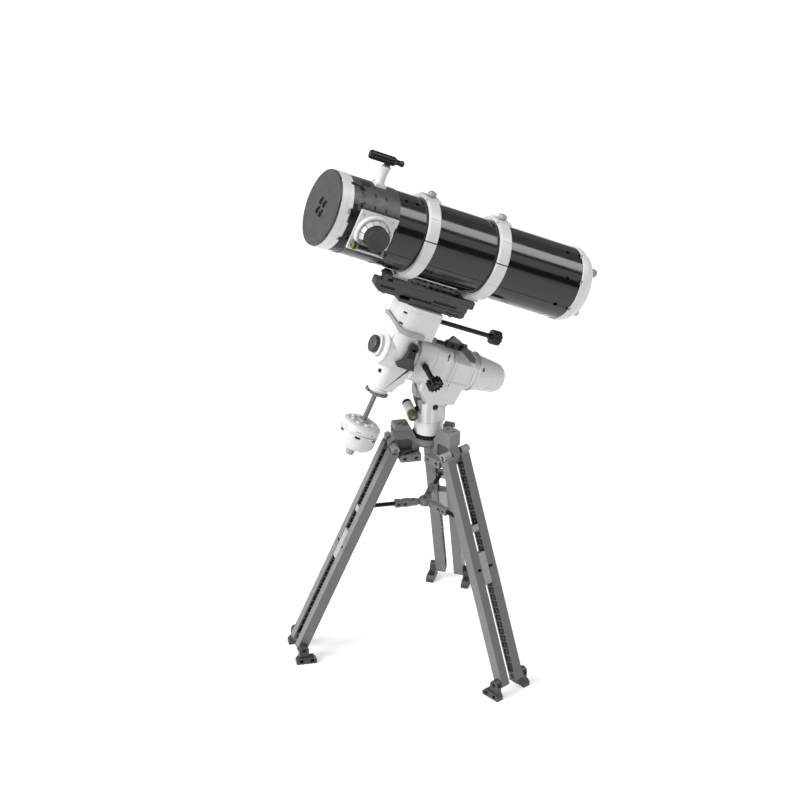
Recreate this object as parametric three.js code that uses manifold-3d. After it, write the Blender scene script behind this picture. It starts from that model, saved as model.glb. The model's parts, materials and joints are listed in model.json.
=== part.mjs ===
// Toy-brick model of a Newtonian reflector on a German equatorial mount and a three-legged stand.
// Millimetres, +Z up. The stand's axis is the group's vertical axis and the floor is z = 0.
import * as THREE from 'three';
import { mergeVertices } from 'three/addons/utils/BufferGeometryUtils.js';
import Module from 'manifold-3d';

const wasm = await Module();
wasm.setup();

// ---------------------------------------------------------------- driving dimensions
const stud = 8;                       // brick module: one stud
const beam = 11.2;                    // width and depth of a leg rail
const axleRadius = 2.4;               // cross axle used as pin, shaft and bolt
const boreRadius = 2.8;               // hole that an axle turns in
const gap = 0.3;                      // clearance kept between touching pieces
const deg = Math.PI / 180;

const footprintCentre = { x: 15.3, y: -4.1 };  // middle of the model's box, seen from above

// stand
const legAzimuths = [175.5, 295.5, 55.5];
const legSplay = 22.5;                // tilt of a leg from the vertical
const legPivot = { rho: 41.5, z: 253.5 };
const legLength = 256;                // leg pivot to foot pivot
const railOffset = 11.2;              // rail centre from the leg's middle plane
const hubTop = 265;
const spreaderHeight = 181;
const spreaderPivot = 11;             // radius of the inner arm pivots
const spreaderReach = 66;             // radius of the outer arm ends

// equatorial head
const baseBottom = 269;
const baseRadius = 2 * stud;
const baseTop = 307;                  // top of the two cheeks beside the latitude hinge
const latitudePivot = { x: 1, z: 304 };
const latitude = 22.5;                // tilt of the polar axis
const axesCrossing = { x: -41.7, z: 371.1 };   // where the polar and declination axes meet
const pivotInHead = intoPolarFrame(latitudePivot);
const polarSplit = 20;                // plane between the turning and the fixed polar housing
const polarHalfWidth = 19;
const headTop = 57;

// A point of the vertical middle plane, seen from the tilted polar frame.
function intoPolarFrame(point) {
  const [dx, dz] = [point.x - axesCrossing.x, point.z - axesCrossing.z];
  const [cos, sin] = [Math.cos(latitude * deg), Math.sin(latitude * deg)];
  return { x: dx * cos - dz * sin, z: dx * sin + dz * cos };
}

// optical tube
const tubeAxisHeight = 125.4;         // above the polar axis
const tubeRadius = 5 * stud;
const tubeWall = 3.2;
const tubeSides = 48;
const tubeFront = -128.7;
const tubeRear = 151;
const ringCentres = { front: -34.5, rear: 52 };
const ringWidth = 12.4;
const ringInner = tubeRadius + 0.4;
const ringOuter = tubeRadius + 4.8;
const ringSplit = 167;                // angle of the near split, from the far side over the top
const focuserX = -99.5;
const finderX = -95.5;
const mirrorBoltCircle = 27;

// ---------------------------------------------------------------- materials
function plastic(color, roughness, metalness = 0) {
  return new THREE.MeshStandardMaterial({ color, roughness, metalness });
}
const white = plastic(0xe9e9e6, 0.42);
const lightGrey = plastic(0xa3a5a6, 0.45);
const standGrey = plastic(0x6f7174, 0.45);
const darkGrey = plastic(0x3d3e40, 0.4);
const black = plastic(0x101011, 0.22);
const mirrorGlass = plastic(0xd8dde0, 0.08, 0.9);

// ---------------------------------------------------------------- solid helpers
function toSolid(geometry) {
  const bare = geometry.clone();
  bare.deleteAttribute('normal');
  bare.deleteAttribute('uv');
  const merged = mergeVertices(bare, 1e-4);
  const index = merged.index.array;
  const triangles = [];
  for (let i = 0; i < index.length; i += 3) {
    const [a, b, c] = [index[i], index[i + 1], index[i + 2]];
    if (a !== b && b !== c && c !== a) triangles.push(a, b, c);
  }
  const mesh = new wasm.Mesh({
    numProp: 3,
    vertProperties: new Float32Array(merged.attributes.position.array),
    triVerts: new Uint32Array(triangles),
  });
  return new wasm.Manifold(mesh);
}

function toGeometry(solid) {
  const { vertProperties, triVerts } = solid.getMesh();
  const geometry = new THREE.BufferGeometry();
  geometry.setAttribute('position', new THREE.BufferAttribute(vertProperties, 3));
  geometry.setIndex(new THREE.BufferAttribute(triVerts, 1));
  geometry.computeVertexNormals();
  return geometry;
}

function join(...solids) {
  return solids.reduce((whole, solid) => whole.add(solid));
}

function cut(solid, ...tools) {
  return tools.reduce((rest, tool) => rest.subtract(tool), solid);
}

function block([x0, x1], [y0, y1], [z0, z1]) {
  const geometry = new THREE.BoxGeometry(x1 - x0, y1 - y0, z1 - z0);
  geometry.translate((x0 + x1) / 2, (y0 + y1) / 2, (z0 + z1) / 2);
  return toSolid(geometry);
}

// Round bar between two points, with its own radius at each end.
function rod(from, to, radius, endRadius = radius, sides = 16) {
  const start = new THREE.Vector3(...from);
  const end = new THREE.Vector3(...to);
  const along = end.clone().sub(start);
  const geometry = new THREE.CylinderGeometry(endRadius, radius, along.length(), sides);
  const up = new THREE.Vector3(0, 1, 0);
  geometry.applyQuaternion(new THREE.Quaternion().setFromUnitVectors(up, along.normalize()));
  const middle = start.add(end).multiplyScalar(0.5);
  geometry.translate(middle.x, middle.y, middle.z);
  return toSolid(geometry);
}

// Solid of revolution: profile of [radius, station] pairs, turned about Z.
function turned(profile, sides = 28) {
  const points = profile.map(([radius, station]) => new THREE.Vector2(radius, station));
  const geometry = new THREE.LatheGeometry(points, sides);
  geometry.rotateX(Math.PI / 2);
  return toSolid(geometry);
}

// The same, turned about X.
function turnedX(profile, sides = 32) {
  const points = profile.map(([radius, station]) => new THREE.Vector2(radius, station));
  const geometry = new THREE.LatheGeometry(points, sides);
  geometry.rotateZ(-Math.PI / 2);
  return toSolid(geometry);
}

function extrude(shape, depth, curveSegments = 7) {
  return new THREE.ExtrudeGeometry(shape, { depth, bevelEnabled: false, curveSegments });
}

function outline(points) {
  return new THREE.Shape(points.map(([x, y]) => new THREE.Vector2(x, y)));
}

// Shape drawn in X and Z, extruded along Y from y0 to y1.
function profileXZ(shape, y0, y1) {
  const geometry = extrude(shape, y1 - y0);
  geometry.rotateX(Math.PI / 2);
  geometry.translate(0, y1, 0);
  return toSolid(geometry);
}

// Shape drawn in Y and Z, extruded along X from x0 to x1.
function profileYZ(shape, x0, x1) {
  const geometry = extrude(shape, x1 - x0, 12);
  const axes = new THREE.Matrix4().makeBasis(
    new THREE.Vector3(0, 1, 0), new THREE.Vector3(0, 0, 1), new THREE.Vector3(1, 0, 0));
  geometry.applyMatrix4(axes);
  geometry.translate(x0, 0, 0);
  return toSolid(geometry);
}

// Shape drawn in X and Y, extruded along Z from z0 to z1.
function profileXY(shape, z0, z1) {
  const geometry = extrude(shape, z1 - z0);
  geometry.translate(0, 0, z0);
  return toSolid(geometry);
}

function addPart(parent, name, material, solid, position = [0, 0, 0], rotation = [0, 0, 0]) {
  const mesh = new THREE.Mesh(toGeometry(solid), material);
  mesh.name = name;
  mesh.position.set(...position);
  mesh.rotation.set(...rotation);
  parent.add(mesh);
}

function addGroup(parent, position = [0, 0, 0], rotation = [0, 0, 0]) {
  const group = new THREE.Group();
  group.position.set(...position);
  group.rotation.set(...rotation);
  parent.add(group);
  return group;
}

// ---------------------------------------------------------------- stand
function hubBracket() {
  const side = outline([
    [11.5, 240], [40, 240.5], [46, 247], [46, 259], [39, 281], [23, 281], [15, 264], [11.5, 264],
  ]);
  side.holes.push(outline([[18, 250], [32, 250], [32, 262], [25, 266], [18, 262]]));
  const shelf = block([11.5, 34.3], [-16.5, 16.5], [240.5, 249]);
  const wide = join(profileXZ(side, -stud, stud), shelf);
  const railRoom = [
    block([34, 60], [5.2, 20], [230, 262]),
    block([34, 60], [-20, -5.2], [230, 262]),
  ];
  const pinHole = rod([legPivot.rho, -20, legPivot.z], [legPivot.rho, 20, legPivot.z], boreRadius);
  return cut(wide, ...railRoom, pinHole);
}

function tripodHub() {
  const plate = turned([[0, 259], [19, 259], [19, hubTop], [0, hubTop]]);
  const peg = turned([[0, 258], [6, 258], [6, 275], [0, 275]], 24);
  const brackets = legAzimuths.map((azimuth) => hubBracket().rotate([0, 0, azimuth]));
  return join(plate, peg, ...brackets);
}

function legRail() {
  const half = beam / 2;
  const side = new THREE.Shape();
  side.absarc(0, 0, half, 0, Math.PI, false);
  side.absarc(0, -legLength, half, Math.PI, 2 * Math.PI, false);
  for (const end of [0, -legLength]) {
    const hole = new THREE.Path();
    hole.absarc(0, end, boreRadius, 0, 2 * Math.PI, true);
    side.holes.push(hole);
  }
  return profileXZ(side, -half, half);
}

// One foot, drawn about its pivot; side is +1 or -1, the rail it stands under.
function foot(side) {
  const inner = railOffset + beam / 2 + gap;
  const footZ = legLength * Math.cos(legSplay * deg) - legPivot.z;
  const across = (from, to) => (side > 0 ? [from, to] : [-to, -from]);
  const sole = block([-14.4, 8.6], across(inner, inner + 8.8), [footZ, footZ + stud]);
  const lug = block([-5.4, 5.4], across(inner, inner + 7), [footZ + 4, 0]);
  const eye = rod([0, side * inner, 0], [0, side * (inner + 7), 0], 5.4);
  const pin = rod([0, side * 6.2, 0], [0, side * (inner + 1), 0], axleRadius);
  return join(sole, lug, eye, pin);
}

function addLeg(parent, number, azimuth) {
  const sector = addGroup(parent, [0, 0, 0], [0, 0, azimuth * deg]);
  const pin = rod([0, -17, 0], [0, 17, 0], axleRadius);
  addPart(sector, `leg_pin_${number}`, lightGrey, pin, [legPivot.rho, 0, legPivot.z]);
  const leg = addGroup(sector, [legPivot.rho, 0, legPivot.z], [0, -legSplay * deg, 0]);
  addPart(leg, `leg_rail_${number}a`, standGrey, legRail(), [0, railOffset, 0]);
  addPart(leg, `leg_rail_${number}b`, standGrey, legRail(), [0, -railOffset, 0]);
  const footPlace = [
    legPivot.rho + legLength * Math.sin(legSplay * deg), 0,
    legPivot.z - legLength * Math.cos(legSplay * deg),
  ];
  addPart(sector, `foot_${number}a`, darkGrey, foot(1), footPlace);
  addPart(sector, `foot_${number}b`, darkGrey, foot(-1), footPlace);
}

function spreaderHub() {
  const disc = turned([[0, -4], [7, -4], [7, 4], [0, 4]], 24);
  const lugs = legAzimuths.map((azimuth) => {
    const lug = block([3, spreaderPivot], [-1.8, 1.8], [-3, 3]);
    const eye = rod([spreaderPivot, -1.8, 0], [spreaderPivot, 1.8, 0], 3);
    return join(lug, eye).rotate([0, 0, azimuth]);
  });
  return join(disc, ...lugs);
}

function spreaderArm() {
  const reach = spreaderReach - spreaderPivot;
  const fork = cut(
    join(block([0, 9], [-4.6, 4.6], [-3, 3]), rod([0, -4.6, 0], [0, 4.6, 0], 3)),
    block([-4, 4.2], [-2.1, 2.1], [-4, 4]),
  );
  const link = block([8, 24], [-3.9, 3.9], [-3.6, 3.6]);
  const bar = rod([23, 0, 0], [reach, 0, 0], axleRadius, axleRadius, 12);
  return join(fork, link, bar);
}

function addStand(parent) {
  addPart(parent, 'tripod_hub', standGrey, tripodHub());
  legAzimuths.forEach((azimuth, index) => addLeg(parent, index + 1, azimuth));
  addPart(parent, 'spreader_hub', standGrey, spreaderHub(), [0, 0, spreaderHeight]);
  legAzimuths.forEach((azimuth, index) => {
    const place = [
      spreaderPivot * Math.cos(azimuth * deg), spreaderPivot * Math.sin(azimuth * deg), spreaderHeight,
    ];
    addPart(parent, `spreader_arm_${index + 1}`, black, spreaderArm(), place, [0, 0, azimuth * deg]);
  });
}

// ---------------------------------------------------------------- azimuth base
function azimuthBase() {
  const { x, z } = latitudePivot;
  const drum = turned([[0, baseBottom], [baseRadius, baseBottom], [baseRadius, baseTop], [0, baseTop]]);
  const cheeks = join(
    block([x - 10, x + 10], [-15.5, 15.5], [290, z]),
    rod([x, -15.5, z], [x, 15.5, z], 10, 10, 32),
  );
  const slot = block([-30, 30], [-10, 10], [294.4, 330]);
  const pinHole = rod([x, -20, z], [x, 20, z], boreRadius);
  const pegHole = turned([[0, baseBottom - 2], [6.4, baseBottom - 2], [6.4, 277], [0, 277]], 24);
  const boltHole = rod([-20, 0, 285], [-10, 0, 285], boreRadius);
  return cut(join(drum, cheeks), slot, pinHole, pegHole, boltHole);
}

// T-handled bolt in front of the base: a stem along X and a cross bar.
function latitudeBolt() {
  const half = 13.5;
  const tilt = 16 * deg;
  const dy = half * Math.cos(tilt);
  const dz = half * Math.sin(tilt);
  const bar = rod([0, dy, dz], [0, -dy, -dz], 5, 5, 24);
  const stem = rod([0, 0, 0], [9, 0, 0], axleRadius);
  return join(bar, stem);
}

function addBase(parent) {
  const { x, z } = latitudePivot;
  addPart(parent, 'azimuth_base', white, azimuthBase());
  addPart(parent, 'latitude_pin', black, rod([x, -15.8, z], [x, 15.8, z], axleRadius));
  addPart(parent, 'latitude_bolt', white, latitudeBolt(), [-22.4, 0, 297]);
}

// ---------------------------------------------------------------- fixed polar housing
function raHousing() {
  const front = outline([
    [-polarHalfWidth, -18], [-12, -25], [12, -25], [polarHalfWidth, -18],
    [polarHalfWidth, 12], [10, 21], [-10, 21], [-polarHalfWidth, 12],
  ]);
  const rear = outline([[-18, -14], [-10, -21], [10, -21], [18, -14], [18, 10], [8, 20], [-8, 20], [-18, 10]]);
  const tongue = join(
    profileXZ(outline([[36, -20], [86, -20], [84.6, -38], [68, -53.5], [59, -51.5], [40, -33]]), -9.6, 9.6),
    rod([pivotInHead.x, -9.6, pivotInHead.z], [pivotInHead.x, 9.6, pivotInHead.z], 8.5, 8.5, 28),
  );
  const shoulder = profileXZ(outline([[36, -19], [86, -19], [85, -33], [41, -33]]), -15, 15);
  const skirt = outline([[37, -16], [85, -14], [82.6, -36.4], [60, -41.8], [55, -44.2], [38, -31]]);
  const skirts = [profileXZ(skirt, 16.3, polarHalfWidth), profileXZ(skirt, -polarHalfWidth, -16.3)];
  const bridge = profileXZ(outline([[38, -18], [84, -18], [82.8, -32], [40, -31]]), -17, 17);
  const body = join(
    profileYZ(front, polarSplit + 0.4, 59.6), profileYZ(rear, 59, 90), tongue, shoulder, bridge, ...skirts,
  );
  const axleBore = rod([0, 0, 0], [120, 0, 0], 6.4, 6.4, 28);
  const pinHole = rod([pivotInHead.x, -20, pivotInHead.z], [pivotInHead.x, 20, pivotInHead.z], boreRadius);
  return cut(body, axleBore, pinHole);
}

function raRearCap() {
  const shell = turnedX([[0, 90.3], [20.5, 90.3], [20.5, 94], [16, 126], [13.5, 130.5], [9, 132.4], [0, 132.8]]);
  return cut(shell, rod([80, 0, 0], [104, 0, 0], 6.4, 6.4, 24));
}

function raClampLever() {
  const shaft = rod([29, 0, 0], [64, 0, 0], 2.6);
  const knuckle = block([52, 63], [-4, 4], [-2.6, 4]);
  const crest = profileXZ(outline([[51, 2], [57, 9.5], [63, 3]]), -2.5, 2.5);
  const paddle = profileXZ(outline([[60, 2], [64, 2], [85, -6], [86, -9.4], [82, -10.6], [60, -2]]), -8.4, -2.4);
  return join(shaft, knuckle, crest, paddle);
}

// Toothed hand wheel about Z, from z = 0 up.
function gearWheel(outer, root, teeth, thickness) {
  const rim = [];
  for (let tooth = 0; tooth < teeth; tooth += 1) {
    const profile = [[0, root], [0.25, outer], [0.55, outer], [0.8, root]];
    for (const [part, radius] of profile) {
      const angle = ((tooth + part) / teeth) * 2 * Math.PI;
      rim.push([radius * Math.cos(angle), radius * Math.sin(angle)]);
    }
  }
  return profileXY(outline(rim), 0, thickness);
}

// Slow-motion knob drawn along Z: a shaft from the housing and the wheel at its end.
function raSlowMotionKnob() {
  const shaft = turned([[0, 0], [axleRadius, 0], [axleRadius, 26], [0, 26]], 16);
  return join(shaft, gearWheel(8.7, 6.9, 16, stud).translate([0, 0, 25]));
}

function addPolarHousing(head) {
  addPart(head, 'ra_housing', white, raHousing());
  addPart(head, 'ra_rear_cap', white, raRearCap());
  addPart(head, 'ra_clamp_lever', darkGrey, raClampLever(), [0, -12, 25.6]);
  const direction = new THREE.Vector3(6.2, -26.3, -8.3).normalize();
  const turn = new THREE.Quaternion().setFromUnitVectors(new THREE.Vector3(0, 0, 1), direction);
  const euler = new THREE.Euler().setFromQuaternion(turn);
  addPart(head, 'ra_slow_motion_knob', black, raSlowMotionKnob(),
    [28.6, -polarHalfWidth - 1.2, -0.9], [euler.x, euler.y, euler.z]);
}

// ---------------------------------------------------------------- turning polar head
function decHousing() {
  const barrel = turnedX([[0, -22], [11, -22], [11, -19], [17.5, -19], [18.5, -17], [18.5, polarSplit], [0, polarSplit]]);
  const drum = turned([[0, -14], [15, -14], [19, -4], [19, 25], [0, 25]]);
  const neck = turned([[0, -50], [10.5, -50], [12, -46], [12, 0], [0, 0]]);
  const web = profileXZ(outline([[0, -44], [11, -44], [14, -37], [polarSplit, -30], [polarSplit, 10], [0, 10]]), -12, 12);
  const axleBore = turned([[0, -30], [6.4, -30], [6.4, 40], [0, 40]], 28);
  return cut(join(barrel, drum, neck, web), axleBore);
}

function decHead() {
  const plan = new THREE.Shape();
  plan.moveTo(25, -22);
  plan.lineTo(25, 22);
  plan.lineTo(-10, 22);
  plan.absarc(-10, 0, 22, Math.PI / 2, 1.5 * Math.PI, false);
  const bore = turned([[0, 20], [6.4, 20], [6.4, 60], [0, 60]], 28);
  return cut(profileXY(plan, 25.3, headTop), bore);
}

function frontCapKnob() {
  return turnedX([[0, -29], [9.5, -29], [9.5, -24.6], [4, -24.6], [4, -22.3], [0, -22.3]], 28);
}

function decClampLever() {
  const arm = profileXZ(outline([
    [4.6, 15], [3.4, 5], [-6.5, -1.5], [-6, -5.8], [18.4, -10.6], [16, 0], [13.4, 14],
  ]), -24.4, -19.6);
  const boss = rod([8.8, -19.6, 14], [8.8, -25.4, 14], 4.8, 4.8, 24);
  return join(arm, boss);
}

// Slow-motion shaft along X with a ribbed knob at its end.
function decSlowMotionKnob() {
  const shaft = rod([0, 0, 0], [66, 0, 0], axleRadius);
  const knob = profileYZ(outline(knurl(7.9, 6.9, 10)), 65, 75.6);
  return join(shaft, knob);
}

function knurl(outer, inner, ribs) {
  const rim = [];
  for (let step = 0; step < ribs * 4; step += 1) {
    const radius = step % 4 < 2 ? outer : inner;
    const angle = (step / (ribs * 4)) * 2 * Math.PI;
    rim.push([radius * Math.cos(angle), radius * Math.sin(angle)]);
  }
  return rim;
}

function counterweightShaft() {
  return turned([[0, -119], [2.7, -119], [2.7, -53], [10.5, -53], [10.5, -50.3], [0, -50.3]], 24);
}

function counterweight() {
  return turned([
    [3.1, -118], [16, -118], [21.5, -112.5], [21.5, -99], [20, -98.6], [20, -97.4],
    [21.5, -97], [21.5, -90.5], [18, -88], [3.1, -88], [3.1, -118],
  ]);
}

function shaftEndKnob() {
  return turned([[0, -129], [3, -128.4], [5, -126], [5, -121], [3, -119.3], [0, -119.3]], 24);
}

function addTurningHead(head) {
  addPart(head, 'dec_housing', white, decHousing());
  addPart(head, 'polar_axle', darkGrey, rod([polarSplit + 0.3, 0, 0], [101, 0, 0], 6, 6, 24));
  addPart(head, 'dec_head', white, decHead());
  addPart(head, 'front_cap_knob', darkGrey, frontCapKnob());
  addPart(head, 'dec_clamp_lever', darkGrey, decClampLever());
  addPart(head, 'dec_slow_motion_knob', black, decSlowMotionKnob(), [25.4, -16, 49]);
  addPart(head, 'counterweight_shaft', standGrey, counterweightShaft());
  addPart(head, 'counterweight', white, counterweight());
  addPart(head, 'shaft_end_knob', lightGrey, shaftEndKnob());
}

// ---------------------------------------------------------------- saddle and tube rings
function saddle() {
  const plate = block([-28, 51], [-16, 16], [headTop + gap, 64]);
  const axle = turned([[0, -20], [6, -20], [6, 60], [0, 60]], 24);
  return join(plate, axle);
}

function dovetailBar() {
  const side = outline([[-62, 71], [-58, 64.3], [57, 64.3], [57, 79], [-60, 79], [-62, 76]]);
  return profileXZ(side, -16, 16);
}

function ringHalf(lower) {
  const seam = 0.2 / ringOuter;
  const start = (lower ? ringSplit : 0) * deg + seam;
  const end = (lower ? 360 : ringSplit) * deg - seam;
  const arc = new THREE.Shape();
  arc.absarc(0, 0, ringOuter, start, end, false);
  arc.absarc(0, 0, ringInner, end, start, true);
  return profileYZ(arc, -ringWidth / 2, ringWidth / 2);
}

function ringLower() {
  const tubeRoom = rod([-30, 0, 0], [30, 0, 0], ringInner, ringInner, 96);
  const shoe = block([-stud, stud], [-12, 12], [79.3 - tubeAxisHeight, 85 - tubeAxisHeight]);
  return join(ringHalf(true), cut(shoe, tubeRoom));
}

function ringUpper() {
  const flange = block([-9.5, 9.5], [-9.5, 9.5], [43, 45.4]);
  return join(ringHalf(false), flange);
}

function ringKnob() {
  return turned([[0, 45.7], [3, 45.7], [4.8, 47.4], [4.8, 49.4], [3, 51], [0, 51.4]], 24);
}

function addSaddle(head) {
  addPart(head, 'saddle', darkGrey, saddle());
  addPart(head, 'dovetail_bar', darkGrey, dovetailBar());
  const knob = turned([[0, 79.3], [4, 79.3], [6.6, 82.2], [6.6, 83.2], [4.2, 86.2], [0, 86.2]], 24);
  addPart(head, 'dovetail_stop_knob', darkGrey, knob, [-52.8, -14, 0]);
  for (const [end, x] of Object.entries(ringCentres)) {
    const place = [x, 0, tubeAxisHeight];
    addPart(head, `ring_${end}_lower`, white, ringLower(), place);
    addPart(head, `ring_${end}_upper`, white, ringUpper(), place);
    addPart(head, `ring_${end}_knob`, lightGrey, ringKnob(), place);
  }
}

// ---------------------------------------------------------------- optical tube, drawn about its axis
function tubeShell() {
  const inner = tubeRadius - tubeWall;
  const shell = turnedX([
    [inner, tubeFront], [tubeRadius, tubeFront], [tubeRadius, tubeRear], [inner, tubeRear], [inner, tubeFront],
  ], tubeSides);
  const focuserHole = rod([focuserX, -60, 0], [focuserX, -20, 0], 14, 14, 32);
  return cut(shell, focuserHole);
}

function frontRing() {
  const [inner, outer] = [tubeRadius - tubeWall, tubeRadius + 1];
  return turnedX([[inner, -142], [outer, -142], [outer, -129], [inner, -129], [inner, -142]], tubeSides);
}

function dustCap() {
  const cap = turnedX([[0, -145], [40.5, -145], [40.5, -142.3], [36.4, -142.3], [36.4, -136], [0, -136]], tubeSides);
  const pockets = [];
  for (const y of [-1, 1]) {
    for (const z of [-1, 1]) {
      const [cy, cz] = [y * stud / 2, z * stud / 2];
      pockets.push(block([-150, -143], [cy - 2, cy + 2], [cz - 2, cz + 2]));
    }
  }
  return cut(cap, ...pockets);
}

// Bolt number 1 sits on the far side, 2 above and 3 below on the near side.
function mirrorBoltPlaces() {
  return [0, 120, 240].map((angle) => [
    mirrorBoltCircle * Math.cos(angle * deg), mirrorBoltCircle * Math.sin(angle * deg),
  ]);
}

function rearCell() {
  const cup = turnedX([
    [0, 163], [37, 163], [37, 151.3], [41, 151.3], [41, 160], [36, 167.4], [28, 168.4], [0, 168.6],
  ], tubeSides);
  const holes = mirrorBoltPlaces().map(([y, z]) => rod([150, y, z], [180, y, z], boreRadius, boreRadius, 16));
  return cut(cup, ...holes);
}

function primaryMirror() {
  return turnedX([[0, 140.5], [12, 140.3], [24, 139.6], [35, 138.5], [35, 147], [0, 147]], tubeSides);
}

function mirrorBolt() {
  const stem = rod([147.4, 0, 0], [170, 0, 0], axleRadius, axleRadius, 12);
  const head = rod([169.2, 0, 0], [177, 0, 0], 4.5, 4, 16);
  return join(stem, head);
}

// Cross of four thin vanes with the slanted secondary mirror's holder in the middle.
function secondaryHolder() {
  const reach = tubeRadius - tubeWall - gap;
  const vanes = join(
    block([-119, -113], [-reach, reach], [-0.6, 0.6]),
    block([-119, -113], [-0.6, 0.6], [-reach, reach]),
  );
  const core = rod([-120, 0, 0], [focuserX + 9, 0, 0], 9, 9, 28);
  const slant = outline([[focuserX - 9, -9.5], [focuserX + 20, 19.5], [focuserX + 20, -30], [focuserX - 9, -30]]);
  const wedge = profileXY(slant, -20, 20);
  return cut(join(vanes, core), wedge);
}

function focuserBase() {
  const half = 21.5;
  const plate = block([focuserX - half, focuserX + half], [-43.2, -40.4], [-half, half]);
  const pad = block([focuserX - 17, focuserX + 17], [-41, -34], [-17, 17]);
  const collar = cut(
    rod([focuserX, -43, 0], [focuserX, -47.6, 0], 20.4, 19.4, 40),
    rod([focuserX, -42, 0], [focuserX, -50, 0], 15.4, 15.4, 32),
    block([focuserX - 30, focuserX + 30], [-60, -43.2], [-30, -10.6]),
  );
  const tubeRoom = rod([-200, 0, 0], [0, 0, 0], tubeRadius + gap, tubeRadius + gap, 96);
  const drawHole = rod([focuserX, -60, 0], [focuserX, 0, 0], 12.6, 12.6, 32);
  return cut(join(plate, cut(pad, tubeRoom), collar), drawHole);
}

function drawtube() {
  const outer = rod([focuserX, -32, 0], [focuserX, -50, 0], 12.2, 12.2, 28);
  return cut(outer, rod([focuserX, -20, 0], [focuserX, -60, 0], 10.2, 10.2, 28));
}

function eyepiece() {
  const barrel = rod([focuserX, -38, 0], [focuserX, -51, 0], 9.8, 9.8, 28);
  const body = rod([focuserX, -50.3, 0], [focuserX, -61.5, 0], 12.4, 12.4, 32);
  const eyeHole = rod([focuserX, -58, 0], [focuserX, -70, 0], 6, 9, 24);
  return cut(join(barrel, body), eyeHole);
}

function focusAxle() {
  const [y, z] = [-48, -15.4];
  const place = (from, to, radius) => rod([focuserX + from, y, z], [focuserX + to, y, z], radius);
  return join(place(-20, 20, axleRadius), place(-20, -14, 4), place(14, 20, 4));
}

function finderStalk() {
  const saddle = block([finderX - 6.5, finderX + 5.5], [-stud, stud], [36, 43]);
  const tubeRoom = rod([-200, 0, 0], [0, 0, 0], tubeRadius + gap, tubeRadius + gap, 96);
  const stem = rod([finderX, 0, 42], [finderX, 0, 61.3], 4.6, 3.9);
  return join(cut(saddle, tubeRoom), stem);
}

function finder() {
  const h = 68.6;
  const objective = rod([-118, 0, h], [-90, 0, h], 4.8);
  const taper = rod([-90.2, 0, h], [-86, 0, h], 4.8, 2.9);
  const ocular = rod([-87, 0, h], [-79, 0, h], 2.9);
  const boss = rod([finderX, 0, 62.4], [finderX, 0, h], 3.6);
  return join(objective, taper, ocular, boss);
}

function addTube(head) {
  const tube = addGroup(head, [0, 0, tubeAxisHeight]);
  addPart(tube, 'tube', black, tubeShell());
  addPart(tube, 'front_ring', white, frontRing());
  addPart(tube, 'dust_cap', darkGrey, dustCap());
  addPart(tube, 'rear_cell', white, rearCell());
  addPart(tube, 'primary_mirror', mirrorGlass, primaryMirror());
  addPart(tube, 'secondary_holder', black, secondaryHolder());
  addPart(tube, 'focuser_base', white, focuserBase());
  addPart(tube, 'drawtube', darkGrey, drawtube());
  addPart(tube, 'eyepiece', darkGrey, eyepiece());
  addPart(tube, 'focus_axle', black, focusAxle());
  addPart(tube, 'finder_stalk', white, finderStalk());
  addPart(tube, 'finder', black, finder());
  mirrorBoltPlaces().forEach(([y, z], index) => {
    addPart(tube, `collimation_knob_${index + 1}`, lightGrey, mirrorBolt(), [0, y, z]);
  });
}

// ---------------------------------------------------------------- assembly
const telescope = new THREE.Group();
telescope.position.set(-footprintCentre.x, -footprintCentre.y, 0);
addStand(telescope);
addBase(telescope);
const polarHead = addGroup(telescope, [axesCrossing.x, 0, axesCrossing.z], [0, latitude * deg, 0]);
addPolarHousing(polarHead);
addTurningHead(polarHead);
addSaddle(polarHead);
addTube(polarHead);

export default telescope;
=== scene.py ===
"""Looks of the brick-built Newtonian reflector telescope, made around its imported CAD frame.

Shapes are drawn in millimetres in local frames that come from the record's joints: the polar
head, the tube, the stand, one stand leg and one sector of the stand. Every piece is baked into
world metres and rides on the CAD body it belongs to.
"""

import functools
import json
import math

import bmesh
import bpy
from mathutils import Matrix, Vector


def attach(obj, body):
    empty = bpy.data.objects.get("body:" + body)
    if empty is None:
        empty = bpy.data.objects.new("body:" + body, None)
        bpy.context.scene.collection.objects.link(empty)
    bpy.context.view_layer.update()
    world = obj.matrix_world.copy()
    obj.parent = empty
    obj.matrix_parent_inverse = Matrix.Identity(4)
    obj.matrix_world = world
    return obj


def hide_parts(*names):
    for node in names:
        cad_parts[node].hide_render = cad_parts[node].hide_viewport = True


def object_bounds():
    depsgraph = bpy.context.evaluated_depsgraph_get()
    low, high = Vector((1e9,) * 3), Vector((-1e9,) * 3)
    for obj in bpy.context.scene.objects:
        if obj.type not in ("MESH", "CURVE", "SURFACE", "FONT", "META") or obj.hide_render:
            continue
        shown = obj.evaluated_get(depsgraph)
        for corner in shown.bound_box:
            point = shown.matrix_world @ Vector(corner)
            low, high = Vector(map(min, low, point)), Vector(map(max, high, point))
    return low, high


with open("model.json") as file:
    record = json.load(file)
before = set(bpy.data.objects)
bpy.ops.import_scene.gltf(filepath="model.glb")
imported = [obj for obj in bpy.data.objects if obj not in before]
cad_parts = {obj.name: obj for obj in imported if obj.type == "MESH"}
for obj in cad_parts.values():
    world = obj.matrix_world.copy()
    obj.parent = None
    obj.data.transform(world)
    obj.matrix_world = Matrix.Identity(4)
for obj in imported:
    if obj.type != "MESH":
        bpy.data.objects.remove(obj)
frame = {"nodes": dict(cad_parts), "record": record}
cad_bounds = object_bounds()
joints = {joint["name"]: joint for joint in frame["record"]["behaviour"]["joints"]}

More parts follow.
